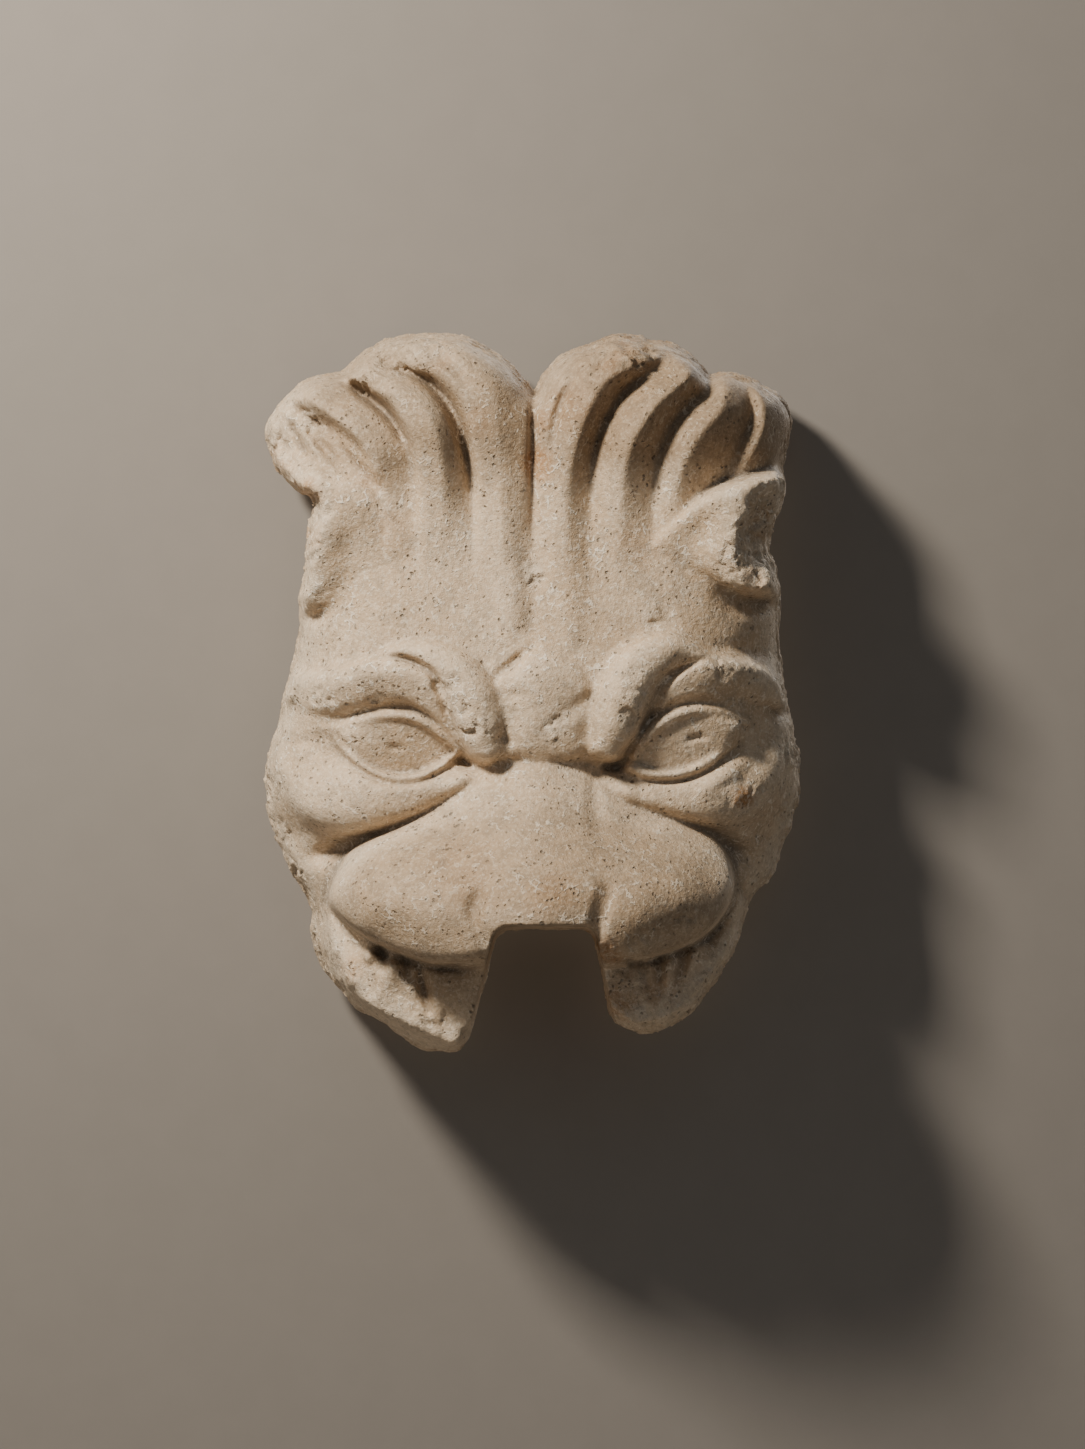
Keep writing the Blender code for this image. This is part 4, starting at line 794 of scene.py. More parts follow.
def closed_at_back(mesh):
    """Cuts the mesh at the back plane and closes it there with a flat face."""
    body = bmesh.new()
    body.from_mesh(mesh)
    everything = body.verts[:] + body.edges[:] + body.faces[:]
    cut = bmesh.ops.bisect_plane(
        body, geom=everything, dist=BACK_NEAR, plane_co=(0, 0, 0), plane_no=(0, 1, 0), clear_outer=True
    )
    rim = [piece for piece in cut["geom_cut"] if isinstance(piece, bmesh.types.BMEdge)]
    for edge in rim:
        for corner in edge.verts:
            corner.co.y = 0.0
    bmesh.ops.dissolve_degenerate(body, dist=RIM_SHORTEST, edges=rim)
    rim = [edge for edge in body.edges if edge.is_boundary]
    bmesh.ops.triangle_fill(body, use_beauty=True, use_dissolve=False, edges=rim)
    bmesh.ops.triangulate(body, faces=body.faces[:])
    bmesh.ops.recalc_face_normals(body, faces=body.faces[:])
    body.to_mesh(mesh)
    body.free()
    mesh.validate()
    return mesh


def rolled_back(s, reach):
    """Rolls the stone back near the outline, widely at the mane and less lower down."""
    turn = np.clip(levels(EDGE_TURNS, s.X, s.Z, mirror=True), 5, 40)
    u = np.clip(1 - np.maximum(reach, 0) / turn, 0, 1)
    side = EDGE_LEVEL * (1 - u**EDGE_ROUNDNESS) ** (1 / EDGE_ROUNDNESS)
    s.H = smooth_min(s.H, side, 30)


def cut_to_outline(s, reach):
    """Cuts the sides down to the back along the outline, with a rounded arris."""
    u = np.clip(1 - reach / EDGE_ROUND, 0, 1)
    arris = (1 - u**EDGE_ROUNDNESS) ** (1 / EDGE_ROUNDNESS)
    s.H = np.where(reach < 0, EDGE_STEEPNESS * reach, s.H * arris)


# Stained places, as (x, z, radius, strength)
STAINS = [
    (2, 128, 9, 0.9), (1, 100, 7, 0.5), (3, 150, 7, 0.5), (-124, 112, 8, 0.6), (-123, 88, 5, 0.4),
    (42, -143, 8, 0.8), (34, -139, 6, 0.6), (-97, -155, 8, 0.5), (48, -172, 9, 0.6), (118, -58, 6, 0.9),
    (60, 80, 14, 0.25), (-40, -100, 18, 0.25), (12, -112, 14, 0.3),
    (-140, 128, 9, 0.4), (72, -165, 9, 0.4), (124, 60, 8, 0.3), (20, 160, 12, 0.35), (-78, 92, 11, 0.3),
    (-30, 150, 10, 0.3), (-50, 188, 8, 0.3), (126, 96, 9, 0.35), (-90, 118, 9, 0.3),
    (52, 184, 12, 0.35),
]

# Fine cracks, as the points that each runs through, and half the width of their marks
CRACKS = [
    [(58, 80), (68, 78), (80, 77.5), (94, 74)],
    [(-22, 34), (-12, 44), (-8, 56)],
    [(-84, 108), (-78, 98), (-72, 92)],
    [(-60, -80), (-52, -88), (-49, -99)],
]
CRACK_WIDTH = 0.9

# Cuts too fine for the solid: under and inside the lids, under the lip and between the teeth
FINE_CUTS = [
    [(-104, -35, 2, -0.8), (-98, -41.5, 2.6, -2.2), (-89, -47.6, 2.8, -3), (-78, -50.8, 3, -3.2),
     (-67, -51, 3, -3.2), (-57, -48.2, 2.8, -2.8), (-49, -43, 2.4, -1.8)],
    [(-101, -31.5, 1.8, -1.4), (-95, -37, 1.9, -2), (-87, -41.5, 1.9, -2.2), (-77, -44.4, 1.9, -2.2),
     (-67, -44.4, 1.9, -2.2), (-58, -42, 1.9, -2.2), (-50, -37.5, 1.8, -1.6)],
    [(62, -48.5, 2.6, -2), (72, -49.8, 2.8, -2.6), (82, -49, 2.8, -2.6), (92, -46, 2.8, -2.4),
     (101, -41, 2.6, -2), (110, -33, 2.2, -1)],
    [(-110, -123, 2.5, -2), (-97, -139, 3, -4), (-83, -146, 3, -4), (-70, -150, 3, -4),
     (-52, -153.5, 3, -3), (-38, -154.5, 2.5, -2)],
    [(106, -126, 2.5, -2), (96, -138, 3, -3), (80, -146, 3, -3), (62, -150, 3, -3),
     (46, -151, 2.5, -2)],
    [(-63, -154, 2.5, -1.5), (-60, -167, 2.6, -3), (-57.5, -178, 2, -2)],
]

# Relief of the worn skin and of broken stone, as (height, size, seed) in metres
WORN = ((0.00018, 0.011, 21), (0.00012, 0.0045, 22))
FACETS = ((0.0007, 0.0095, 23), (0.0004, 0.0045, 24))
BROKEN_SWELL = (0.0007, 0.011, 25)
BROKEN_AWAY = 0.0003

# The worked back: how deep its skin goes, and the height and waves of its tool marks, in metres
BACK_SKIN = 0.0012
BACK_BLEND = 0.0010
TOOL_MARKS = 0.00035
TOOL_WAVES = (420, 1240)
TOOL_WANDER = (3, 0.05, 26)
BACK_SWELL = (0.0006, 0.02, 27)

# How far the finished skin stays inside the solid's box, in metres
BOX_MARGIN = 0.00005


def sampled(sheet, field, x, z):
    """The values of a field of the sheet at the drawn places x and z."""
    i = np.clip((x - sheet.x[0]) / sheet.step, 0, len(sheet.x) - 1.001)
    j = np.clip((z - sheet.z[0]) / sheet.step, 0, len(sheet.z) - 1.001)
    a = i.astype(int)
    b = j.astype(int)
    u = i - a
    v = j - b
    low = field[a, b] * (1 - u) + field[a + 1, b] * u
    high = field[a, b + 1] * (1 - u) + field[a + 1, b + 1] * u
    return low * (1 - v) + high * v


def drawn_place(points, unit, forward):
    """Where the points of the mask lie in the drawing, as x and z."""
    nearer = 1 + points[:, 1] / forward / EYE_DISTANCE
    x = EYE_X + (points[:, 0] / unit - EYE_X) / nearer
    z = EYE_Z + (points[:, 2] / unit - EYE_Z) / nearer
    return x, z


def lumps(points, size, seed):
    """Smooth seeded noise between -1 and 1 at points in space, with lumps of the given size."""
    rng = np.random.default_rng(seed)
    p = (points - points.min(0)) / size
    i = p.astype(int)
    t = soft_step(p - i)
    knots = rng.uniform(-1, 1, i.max(0) + 2)
    total = np.zeros(len(points))
    for a in (0, 1):
        for b in (0, 1):
            for c in (0, 1):
                share = np.abs(1 - a - t[:, 0]) * np.abs(1 - b - t[:, 1]) * np.abs(1 - c - t[:, 2])
                total += share * knots[i[:, 0] + a, i[:, 1] + b, i[:, 2] + c]
    return total


def swell(points, height, size, seed):
    """Smooth lumps of the given height and size."""
    return height * lumps(points, size, seed)


def fractures(points, size, seed):
    """Seeded broken facets of about the given size, each a tilted plane, at points in space."""
    rng = np.random.default_rng(seed)
    p = (points - points.min(0)) / size + 1
    cell = p.astype(int)
    seeds = rng.uniform(0, 1, (*(cell.max(0) + 2), 3))
    tilts = rng.normal(0, 1, (*(cell.max(0) + 2), 4))
    nearest = np.full(len(points), np.inf)
    facet = np.zeros(len(points))
    for a in (-1, 0, 1):
        for b in (-1, 0, 1):
            for c in (-1, 0, 1):
                around = cell + (a, b, c)
                row = (around[:, 0], around[:, 1], around[:, 2])
                away = p - around - seeds[row]
                distance = (away**2).sum(1)
                closer = distance < nearest
                nearest[closer] = distance[closer]
                tilt = tilts[row]
                facet[closer] = ((away * tilt[:, :3]).sum(1) + 0.5 * tilt[:, 3])[closer]
    return np.clip(facet, -1.5, 1.5)


def coordinates(mesh, of="co"):
    """The mesh's points as rows, or their normals."""
    values = np.empty(len(mesh.vertices) * 3)
    if of == "co":
        mesh.vertices.foreach_get("co", values)
    else:
        mesh.vertex_normals.foreach_get("vector", values)
    return values.reshape(-1, 3)


def weathered(mesh, sheet, unit, forward, roughness):
    """Moves the mesh's points for the worn skin, the broken places and the worked back."""
    points = coordinates(mesh)
    normals = coordinates(mesh, "normal")
    x, z = drawn_place(points, unit, forward)
    broken = broken_at(sheet, points, normals, x, z, forward)
    skin = swell(points, *WORN[0]) + swell(points, *WORN[1])
    breaks = sum(height * fractures(points, size, seed) for height, size, seed in FACETS)
    breaks += swell(points, *BROKEN_SWELL) - BROKEN_AWAY
    move = roughness * (skin + broken * breaks)
    back = soft_step((points[:, 1] + BACK_SKIN) / BACK_BLEND)
    wave = points[:, 0] * TOOL_WAVES[0] + points[:, 2] * TOOL_WAVES[1] + swell(points, *TOOL_WANDER)
    worked = np.minimum(0, TOOL_MARKS * np.sin(wave) + swell(points, *BACK_SWELL))
    moved = points + normals * (move * (1 - back))[:, None]
    moved[:, 1] = np.where(back > 0, points[:, 1] * (1 - back) + worked * back, moved[:, 1])
    moved = np.clip(moved, np.array(CAD_LOW) + BOX_MARGIN, np.array(CAD_HIGH) - BOX_MARGIN)
    mesh.vertices.foreach_set("co", moved.ravel())
    mesh.update()


def broken_at(sheet, points, normals, x, z, forward):
    """How broken the stone is at the given points, mostly from 0 to 1."""
    level = -points[:, 1] / forward
    places = sampled(sheet, sheet.rough, x, z)
    # less on the left part of the jaw, more on the right part's tip and the right ear's front
    places *= 1 - 0.55 * soft_step((-116 - z) / 12) * soft_step(-x / 9)
    tip = 0.9 * soft_step((-160 - z) / 12) * soft_step((x - 40) / 6)
    ear = 1.2 * soft_step(1.4 - np.hypot((x - 113) / 12, (z - 78) / 24))
    places = np.maximum(places, np.maximum(tip, ear))
    # the rim beside the back, and the sides along the outline
    rim = soft_step((34 - level) / 14) * soft_step((level - 1) / 3)
    sides = soft_step((0.45 - np.abs(normals[:, 1])) / 0.3)
    edge = soft_step((7 - sampled(sheet, sheet.reach, x, z)) / 6) * sides
    patchy = 0.55 + 0.45 * lumps(points, 0.022, 31)
    return np.clip(np.maximum(places, np.maximum(0.8 * rim, edge * patchy)), 0, 1.6)


def mark(mesh, name, values):
    """Keeps a value from 0 to 1 at each point of the mesh, for the marble to read."""
    layer = mesh.attributes.new(name, "FLOAT", "POINT")
    layer.data.foreach_set("value", np.clip(values, 0, 1).astype(np.float32))


def mark_surface(mesh, sheet, unit, forward):
    """Marks where the mask is broken, stained or rubbed, where dirt and painted shade sit in its
    hollows, and where grime and painted shade darken it.
    """
    points = coordinates(mesh)
    normals = coordinates(mesh, "normal")
    x, z = drawn_place(points, unit, forward)
    mark(mesh, "broken", broken_at(sheet, points, normals, x, z, forward))
    around = soften(np.maximum(sheet.H, 0), 5 / sheet.step)
    near = soften(np.maximum(sheet.H, 0), 2 / sheet.step)
    hollow = sampled(sheet, around - sheet.H, x, z)
    groove = sampled(sheet, near - sheet.H, x, z)
    inside = soft_step(sampled(sheet, np.minimum(sheet.reach, -sheet.gap), x, z) / 6)
    crack = np.zeros_like(sheet.H)
    for points_of in CRACKS:
        d, _, _ = sheet.measure(smooth_line(points_of), (slice(None), slice(None)))
        crack = np.maximum(crack, soft_step(1.5 - d / CRACK_WIDTH))
    # darker in the hollows and grooves: partly dirt, partly painted shade that deepens them
    dirt_and_shade_amount = soft_step(hollow / 9) * 0.22 + soft_step(groove / 2.2) * 0.65
    dirt_and_shade_amount *= 1 - 0.6 * np.minimum(sampled(sheet, sheet.rough, x, z), 1)
    mark(mesh, "hollow", inside * np.maximum(dirt_and_shade_amount, 0.5 * sampled(sheet, crack, x, z)))
    mark(mesh, "rubbed", soft_step(-hollow / 5))
    stain = np.zeros(len(points))
    wander = 5 * lumps(points, 0.012, 33)
    for sx, sz, radius, strength in STAINS:
        near = (np.hypot(x - sx, z - sz) + wander) / radius
        stain = np.maximum(stain, strength * soft_step(1.4 - near))
    mark(mesh, "stain", stain)
    # grime and painted shade where the light falls off, over the muzzle and the tops of the locks, more
    # on the right
    over_muzzle = 0.62 * soft_step((-44 - z) / 36) * soft_step((-points[:, 1] / forward - 100) / 20)
    over_locks = soft_step((z - 112) / 30) * soft_step((x + 138) / 24)
    over_locks *= 0.7 + 0.5 * soft_step((x - 10) / 30)
    mark(mesh, "grime", np.maximum(over_muzzle, over_locks))


class Nodes:
    """Adds shader nodes to a material and joins them."""

    def __init__(self, material):
        material.use_nodes = True
        self.tree = material.node_tree
        self.shader = self.tree.nodes["Principled BSDF"]
        self.output = self.tree.nodes["Material Output"]

    def add(self, kind, **values):
        """A new node with the given settings."""
        node = self.tree.nodes.new(kind)
        for name, value in values.items():
            setattr(node, name, value)
        return node

    def join(self, source, target):
        """Links two sockets."""
        self.tree.links.new(source, target)

    def feed(self, socket, value):
        """Gives a socket either another socket's result or a value."""
        if isinstance(value, bpy.types.NodeSocket):
            self.join(value, socket)
        else:
            socket.default_value = value

    def settle(self, node, values):
        """Feeds the inputs of a node by their names."""
        for name, value in values.items():
            self.feed(node.inputs[name], value)
        return node

    def noise(self, place, scale, detail=3.0, roughness=0.55, distortion=0.0):
        """Cloudy noise from 0 to 1."""
        values = {"Scale": scale, "Detail": detail, "Roughness": roughness, "Distortion": distortion}
        node = self.add("ShaderNodeTexNoise")
        return self.settle(node, {"Vector": place, **values}).outputs["Fac"]

    def wandering(self, place, scale, amount):
        """The place pushed about by noise, so that what it carries looks uneven."""
        node = self.settle(self.add("ShaderNodeTexNoise"), {"Vector": place, "Scale": scale})
        shift = self.add("ShaderNodeVectorMath", operation="MULTIPLY_ADD")
        self.feed(shift.inputs[0], node.outputs["Color"])
        self.feed(shift.inputs[1], (amount, amount, amount))
        self.feed(shift.inputs[2], place)
        return shift.outputs[0]

    def cells(self, place, scale, output="Distance", feature="F1"):
        """A pattern of small cells."""
        node = self.add("ShaderNodeTexVoronoi", feature=feature)
        return self.settle(node, {"Vector": place, "Scale": scale}).outputs[output]

    def spread(self, value, low, high, to_low=0.0, to_high=1.0):
        """A value moved smoothly from one range to another."""
        node = self.add("ShaderNodeMapRange", interpolation_type="SMOOTHSTEP")
        ranges = {"From Min": low, "From Max": high, "To Min": to_low, "To Max": to_high}
        return self.settle(node, {"Value": value, **ranges}).outputs["Result"]

    def sum(self, kind, a, b):
        """Two values joined by a kind of sum."""
        node = self.add("ShaderNodeMath", operation=kind)
        self.feed(node.inputs[0], a)
        self.feed(node.inputs[1], b)
        return node.outputs[0]

    def mix(self, amount, a, b, blend="MIX"):
        """Two colours mixed by an amount."""
        node = self.add("ShaderNodeMix", data_type="RGBA", blend_type=blend, clamp_factor=True)
        self.feed(node.inputs["Factor"], amount)
        self.feed(node.inputs[6], a)
        self.feed(node.inputs[7], b)
        return node.outputs[2]

    def marked(self, name):
        """A value that the mesh keeps at its points."""
        return self.add("ShaderNodeAttribute", attribute_name=name).outputs["Fac"]


# Colours of the crystals, pale flecks and grain of the marble, and the tint of old grime and of painted
# shade where the light falls off
CRYSTAL = (0.84, 0.72, 0.56, 1.0)
FLECK = (0.92, 0.83, 0.70, 1.0)
PALE_GRAIN = (0.86, 0.76, 0.62, 1.0)
GRIME_AND_FALLOFF_SHADE_TINT = (0.60, 0.545, 0.485, 1.0)


def aged_marble(colours):
    """Creamy marble with warm patches, grain, pits, broken places and stains, dirt with painted shade in
    its hollows, and grime with painted shade over the muzzle and the locks.
    """
    material = bpy.data.materials.new("aged_marble")
    n = Nodes(material)
    place = n.add("ShaderNodeTexCoord").outputs["Object"]
    names = ("broken", "hollow", "rubbed", "stain", "grime")
    broken, hollow, rubbed, stain, grime = (n.marked(name) for name in names)
    names = ("clean", "warm", "ochre", "fresh", "stain", "dirt", "pits")
    clean, warm, brown, pale, rust, dirt_and_shade_colour, pit_colour = (tuple(getattr(colours, name)) for name in names)

    clouds = n.noise(place, 14, 5, 0.62, 0.6)
    mottle = n.noise(place, 80, 6, 0.7, 0.5)
    grain = n.noise(place, 560, 3, 0.8)

    base = n.mix(n.spread(clouds, 0.38, 0.64), clean, warm)
    base = n.mix(n.spread(mottle, 0.44, 0.68, 0.0, 0.75), base, brown)
    base = n.mix(n.sum("MULTIPLY", rubbed, 0.35), base, pale)
    # grime and painted shade brown the muzzle and the tops of the locks
    base = n.mix(n.sum("MULTIPLY", grime, n.spread(mottle, 0.35, 0.65, 0.2, 0.7)), base, brown)
    fresh = n.sum("MULTIPLY", broken, n.spread(mottle, 0.34, 0.6, 0.75, 0.1))
    base = n.mix(fresh, base, pale)

    rusty = n.sum("MULTIPLY", stain, n.spread(mottle, 0.3, 0.6, 0.35, 1.0))
    base = n.mix(rusty, base, rust)
    # dirt and painted shade darken the hollows and grooves
    dirt = n.sum("MULTIPLY", hollow, n.spread(n.noise(place, 60, 5, 0.6), 0.25, 0.7, 0.4, 1.0))
    base = n.mix(dirt, base, dirt_and_shade_colour)

    flakes = n.spread(n.cells(place, 520, "Color"), 0.6, 0.95, 0.0, 0.35)
    base = n.mix(flakes, base, CRYSTAL)
    speckle = n.spread(n.noise(place, 220, 5, 0.8), 0.56, 0.64, 0.0, 0.8)
    base = n.mix(speckle, base, brown)
    edges = n.cells(n.wandering(place, 400, 0.0025), 230, feature="DISTANCE_TO_EDGE")
    flecks = n.spread(edges, 0.13, 0.05)
    flecks = n.sum("MULTIPLY", flecks, n.spread(n.noise(place, 190, 2, 0.5), 0.545, 0.60))
    flecks = n.sum("MULTIPLY", flecks, n.spread(n.noise(place, 28, 3, 0.6), 0.44, 0.62, 0.2, 0.75))
    base = n.mix(flecks, base, FLECK)
    pit_round = n.cells(n.wandering(place, 420, 0.0022), 240)
    pit_there = n.spread(n.noise(place, 105, 3, 0.6), 0.57, 0.64)
    pits = n.sum("MULTIPLY", n.spread(pit_round, 0.34, 0.12), pit_there)
    specks = n.spread(n.cells(n.wandering(place, 700, 0.0015), 310), 0.30, 0.16)
    specks = n.sum("MULTIPLY", specks, n.spread(n.noise(place, 130, 3, 0.6), 0.52, 0.60, 0.0, 0.8))
    pits = n.sum("MAXIMUM", pits, specks)
    base = n.mix(n.sum("MULTIPLY", pits, 0.85), base, pit_colour)
    base = n.mix(n.spread(grain, 0.52, 0.66, 0.0, 0.5), base, PALE_GRAIN)
    base = n.mix(n.spread(grain, 0.44, 0.30, 0.0, 0.5), base, brown)
    # grime and painted shade of the falling-off light darken the muzzle and the tops of the locks
    base = n.mix(grime, base, GRIME_AND_FALLOFF_SHADE_TINT, "MULTIPLY")
    n.join(base, n.shader.inputs["Base Color"])

    rough = n.spread(mottle, 0.3, 0.7, 0.55, 0.75)
    n.join(n.sum("ADD", rough, n.sum("MULTIPLY", broken, 0.12)), n.shader.inputs["Roughness"])
    n.settle(n.shader, {
        "Specular IOR Level": 0.35,
        "Subsurface Weight": 0.05,
        "Subsurface Radius": (1.0, 0.7, 0.45),
        "Subsurface Scale": 0.002,
    })

    height = n.sum("MULTIPLY", grain, n.sum("ADD", 0.35, n.sum("MULTIPLY", broken, 0.9)))
    height = n.sum("ADD", height, n.sum("MULTIPLY", n.noise(place, 300, 4, 0.7), 1.5))
    height = n.sum("SUBTRACT", height, n.sum("MULTIPLY", pits, 1.2))
    height = n.sum("ADD", height, n.sum("MULTIPLY", flecks, 0.5))
    bump = n.settle(n.add("ShaderNodeBump"), {"Strength": 0.9, "Distance": 0.0008, "Height": height})
    n.join(bump.outputs["Normal"], n.shader.inputs["Normal"])
    return material


def plain_stage(colour):
    """A matt pale finish that is seen only from its front."""
    material = bpy.data.materials.new("pale_stage")
    n = Nodes(material)
    place = n.add("ShaderNodeTexCoord").outputs["Object"]
    shade = n.spread(n.noise(place, 40, 5, 0.6), 0.3, 0.7, 0.0, 0.25)
    darker = tuple(0.9 * value for value in colour[:3]) + (1.0,)
    n.join(n.mix(shade, tuple(colour), darker), n.shader.inputs["Base Color"])
    n.settle(n.shader, {"Roughness": 0.9, "Specular IOR Level": 0.15})
    clear = n.add("ShaderNodeBsdfTransparent")
    either = n.add("ShaderNodeMixShader")
    n.join(n.add("ShaderNodeNewGeometry").outputs["Backfacing"], either.inputs[0])
    n.join(n.shader.outputs[0], either.inputs[1])
    n.join(clear.outputs[0], either.inputs[2])
    n.join(either.outputs[0], n.output.inputs["Surface"])
    return material


def soft_light(name, place, aim, width, watts, colour):
    """A square area light at a place, turned to its aim."""
    data = bpy.data.lights.new(name, "AREA")
    data.shape = "SQUARE"
    data.size = width
    data.energy = watts
    data.color = colour
    light = bpy.data.objects.new(name, data)
    bpy.context.scene.collection.objects.link(light)
    light.location = place
    light.rotation_euler = (Vector(aim) - Vector(place)).to_track_quat("-Z", "Y").to_euler()


class MaskSizes(bpy.types.PropertyGroup):
    """Sizes of the mask that a user would change."""

    height: bpy.props.FloatProperty(
        name="Height", description="Height of the mask", default=0.400, unit="LENGTH"
    )
    depth: bpy.props.FloatProperty(
        name="Depth", description="Depth from the back to the front of the muzzle", default=0.165,
        unit="LENGTH",
    )
    gap_width: bpy.props.FloatProperty(
        name="Spout gap", description="Width of the gap at its top", default=0.052, unit="LENGTH"
    )
    gap_middle: bpy.props.FloatProperty(
        name="Gap middle", description="How far the gap's middle is to the right", default=0.0075,
        unit="LENGTH",
    )
    gap_top: bpy.props.FloatProperty(
        name="Gap top", description="Height of the gap's top above the mask's foot", default=0.0685,
        unit="LENGTH",
    )
    gap_corner: bpy.props.FloatProperty(
        name="Gap corner", description="Radius of the gap's upper corners", default=0.007, unit="LENGTH"
    )
    flare_left: bpy.props.FloatProperty(
        name="Left flare", description="How much the gap's left side leans out", default=0.27
    )
    flare_right: bpy.props.FloatProperty(
        name="Right flare", description="How much the gap's right side leans out", default=0.20
    )
    grid: bpy.props.FloatProperty(
        name="Grid", description="Spacing of the grid that is carved", default=0.0009, unit="LENGTH",
        precision=5,
    )
    skin: bpy.props.FloatProperty(
        name="Skin", description="Spacing of the points of the finished skin", default=0.0011,
        unit="LENGTH",
        precision=5,
    )
    roughness: bpy.props.FloatProperty(
        name="Weathering", description="Strength of the worn and broken relief", default=1.0,
        min=0.0, max=2.0,
    )
    triangles: bpy.props.IntProperty(
        name="Triangles", description="Number of triangles in the finished mask", default=192000,
        max=199000,
    )


class MaskColours(bpy.types.PropertyGroup):
    """Colours of the marble and the stage."""

    clean: bpy.props.FloatVectorProperty(
        name="Clean marble", description="Main colour of the marble", subtype="COLOR", size=4,
        default=(0.63, 0.485, 0.335, 1.0),
    )
    warm: bpy.props.FloatVectorProperty(
        name="Warm patches", description="Colour of its darker, warmer patches", subtype="COLOR", size=4,
        default=(0.53, 0.385, 0.245, 1.0),
    )
    ochre: bpy.props.FloatVectorProperty(
        name="Ochre speckle", description="Colour of its brown mottling", subtype="COLOR", size=4,
        default=(0.39, 0.305, 0.215, 1.0),
    )
    fresh: bpy.props.FloatVectorProperty(
        name="Broken stone", description="Colour where the stone is broken or rubbed", subtype="COLOR",
        size=4, default=(0.68, 0.585, 0.46, 1.0),
    )
    stain: bpy.props.FloatVectorProperty(
        name="Rust stain", description="Colour of the orange stains", subtype="COLOR", size=4,
        default=(0.42, 0.22, 0.09, 1.0),
    )
    # colour of the dirt and of the painted shade in the hollows and grooves
    dirt: bpy.props.FloatVectorProperty(
        name="Dirt", description="Colour of the dirt in the hollows", subtype="COLOR", size=4,
        default=(0.21, 0.175, 0.14, 1.0),
    )
    pits: bpy.props.FloatVectorProperty(
        name="Pits", description="Colour inside the small pits", subtype="COLOR", size=4,
        default=(0.15, 0.12, 0.09, 1.0),
    )
    stage: bpy.props.FloatVectorProperty(
        name="Stage", description="Colour of the floor and backdrop", subtype="COLOR", size=4,
        default=(0.255, 0.235, 0.215, 1.0),
    )


class MASK_OT_carve(bpy.types.Operator):
    """Carves the lion head mask and gives it its marble"""

    bl_idname = "fountain_mask.carve"
    bl_label = "Carve Mask"

    def execute(self, context):
        sizes = context.scene.fountain_mask_sizes
        unit = sizes.height / DRAWN_HEIGHT
        forward = sizes.depth / DRAWN_DEPTH
        gap_top = (sizes.gap_top - sizes.height / 2) / unit
        corner = sizes.gap_corner / unit
        flares = (sizes.flare_left, sizes.flare_right)
        gap = (sizes.gap_width / unit, sizes.gap_middle / unit, gap_top, *flares, corner)
        sheet = carve(sizes.grid / unit, gap)
        sheet.ridges(FINE_CUTS)
        block = closed_at_back(front_mesh(sheet, unit, forward))
        skin = through_modifier(block, "REMESH", mode="VOXEL", voxel_size=sizes.skin)
        weathered(skin, sheet, unit, forward, sizes.roughness)
        mesh = thinned(skin, sizes.triangles)
        mesh.name = "lion_mask"
        mesh.shade_smooth()
        mark_surface(mesh, sheet, unit, forward)
        mesh.materials.clear()
        mesh.materials.append(aged_marble(context.scene.fountain_mask_colours))
        mask = bpy.data.objects.new("lion_mask", mesh)
        context.scene.collection.objects.link(mask)
        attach(mask, "root")
        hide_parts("mask")
        return {"FINISHED"}


# The lights, as (name, place, width, watts, colour), and the point that they are turned to
LIGHTS = (
    ("key", (-0.72, -0.81, 0.86), 0.22, 32.5, (1.0, 0.91, 0.78)),
    ("fill", (0.3, -2.4, 0.9), 1.2, 1.2, (0.92, 0.96, 1.0)),
    ("back_light", (0.9, 1.9, 1.2), 1.2, 30, (1.0, 0.97, 0.93)),
)
LIGHT_AIM = (0.0, -0.05, 0.0)
STUDIO_COLOUR = (0.86, 0.93, 1.0, 1.0)
STUDIO_STRENGTH = 0.15

# The stage, in metres: its place behind the mask, floor, bend, top, front and half width
STAGE_BEHIND = 0.02
STAGE_FLOOR = -0.62
STAGE_BEND = 0.12
STAGE_TOP = 2.2
STAGE_STRAIGHT = 0.9
STAGE_FRONT = -4.0
STAGE_HALF = 3.0
BEND_STEPS = 12

# The camera's lens and sensor, in millimetres
LENS = 120.0
SENSOR = 36.0


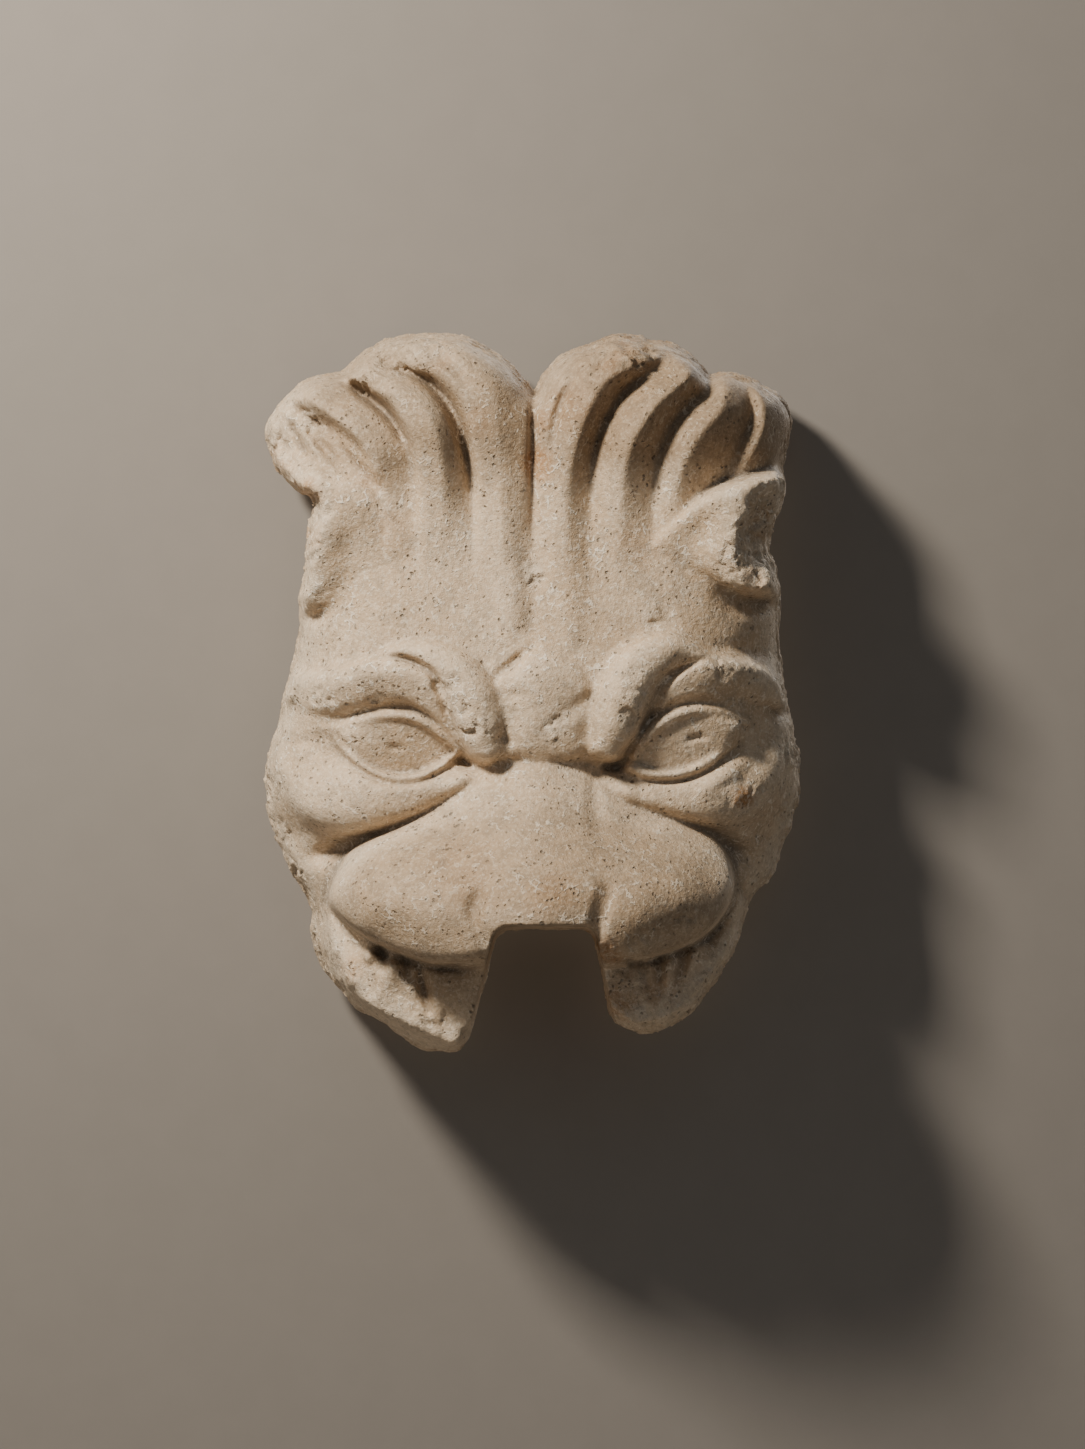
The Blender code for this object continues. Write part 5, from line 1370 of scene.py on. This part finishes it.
class MASK_OT_stage(bpy.types.Operator):
    """Sets up the pale floor and backdrop, the lights and the camera"""

    bl_idname = "fountain_mask.stage"
    bl_label = "Set Stage"

    def execute(self, context):
        sizes = context.scene.fountain_mask_sizes
        colours = context.scene.fountain_mask_colours
        self.backdrop(context, tuple(colours.stage))
        self.lights(context)
        self.camera(context, sizes.height / DRAWN_HEIGHT)
        return {"FINISHED"}

    def backdrop(self, context, colour):
        """A floor that curves up into a backdrop behind the mask."""
        profile = [(STAGE_BEHIND, STAGE_TOP), (STAGE_BEHIND, STAGE_STRAIGHT)]
        for step in range(BEND_STEPS + 1):
            turn = math.pi / 2 * step / BEND_STEPS
            y = STAGE_BEHIND - STAGE_BEND + STAGE_BEND * math.cos(turn)
            profile.append((y, STAGE_FLOOR + STAGE_BEND - STAGE_BEND * math.sin(turn)))
        profile.append((STAGE_FRONT, STAGE_FLOOR))
        points = [(x, y, z) for y, z in profile for x in (-STAGE_HALF, STAGE_HALF)]
        faces = [(2 * i, 2 * i + 2, 2 * i + 3, 2 * i + 1) for i in range(len(profile) - 1)]
        mesh = bpy.data.meshes.new("stage")
        mesh.from_pydata(points, [], faces)
        mesh.update()
        if mesh.polygons[0].normal.y > 0:
            mesh.flip_normals()
        mesh.shade_smooth()
        mesh.materials.append(plain_stage(colour))
        stage = bpy.data.objects.new("stage", mesh)
        stage.visible_shadow = False
        context.scene.collection.objects.link(stage)

    def lights(self, context):
        """A soft key light from the upper left, a weak fill and a light for the hidden back."""
        for name, place, width, watts, colour in LIGHTS:
            soft_light(name, place, LIGHT_AIM, width, watts, colour)
        world = bpy.data.worlds.new("studio")
        world.use_nodes = True
        background = world.node_tree.nodes["Background"]
        background.inputs["Color"].default_value = STUDIO_COLOUR
        background.inputs["Strength"].default_value = STUDIO_STRENGTH
        context.scene.world = world

    def camera(self, context, unit):
        """A camera straight in front, from where the carving is drawn."""
        data = bpy.data.cameras.new("camera")
        data.lens = LENS
        data.sensor_width = SENSOR
        camera = bpy.data.objects.new("camera", data)
        camera.location = (EYE_X * unit, -EYE_DISTANCE * unit, EYE_Z * unit)
        camera.rotation_euler = (math.radians(90), 0.0, 0.0)
        context.scene.collection.objects.link(camera)
        context.scene.camera = camera


class MASK_PT_sidebar(bpy.types.Panel):
    """The mask's steps, sizes and colours"""

    bl_label = "Fountain Mask"
    bl_idname = "MASK_PT_sidebar"
    bl_space_type = "VIEW_3D"
    bl_region_type = "UI"
    bl_category = "Fountain Mask"

    def draw(self, context):
        layout = self.layout
        for operator in (MASK_OT_carve, MASK_OT_stage):
            layout.operator(operator.bl_idname)
        for group in (context.scene.fountain_mask_sizes, context.scene.fountain_mask_colours):
            column = layout.column()
            for name in group.__annotations__:
                column.prop(group, name)


CLASSES = (MaskSizes, MaskColours, MASK_OT_carve, MASK_OT_stage, MASK_PT_sidebar)


def register():
    for each in CLASSES:
        bpy.utils.register_class(each)
    bpy.types.Scene.fountain_mask_sizes = bpy.props.PointerProperty(type=MaskSizes)
    bpy.types.Scene.fountain_mask_colours = bpy.props.PointerProperty(type=MaskColours)


def unregister():
    del bpy.types.Scene.fountain_mask_colours
    del bpy.types.Scene.fountain_mask_sizes
    for each in reversed(CLASSES):
        bpy.utils.unregister_class(each)


def main():
    register()
    bpy.ops.fountain_mask.carve()
    bpy.ops.fountain_mask.stage()


if __name__ == "__main__":
    main()
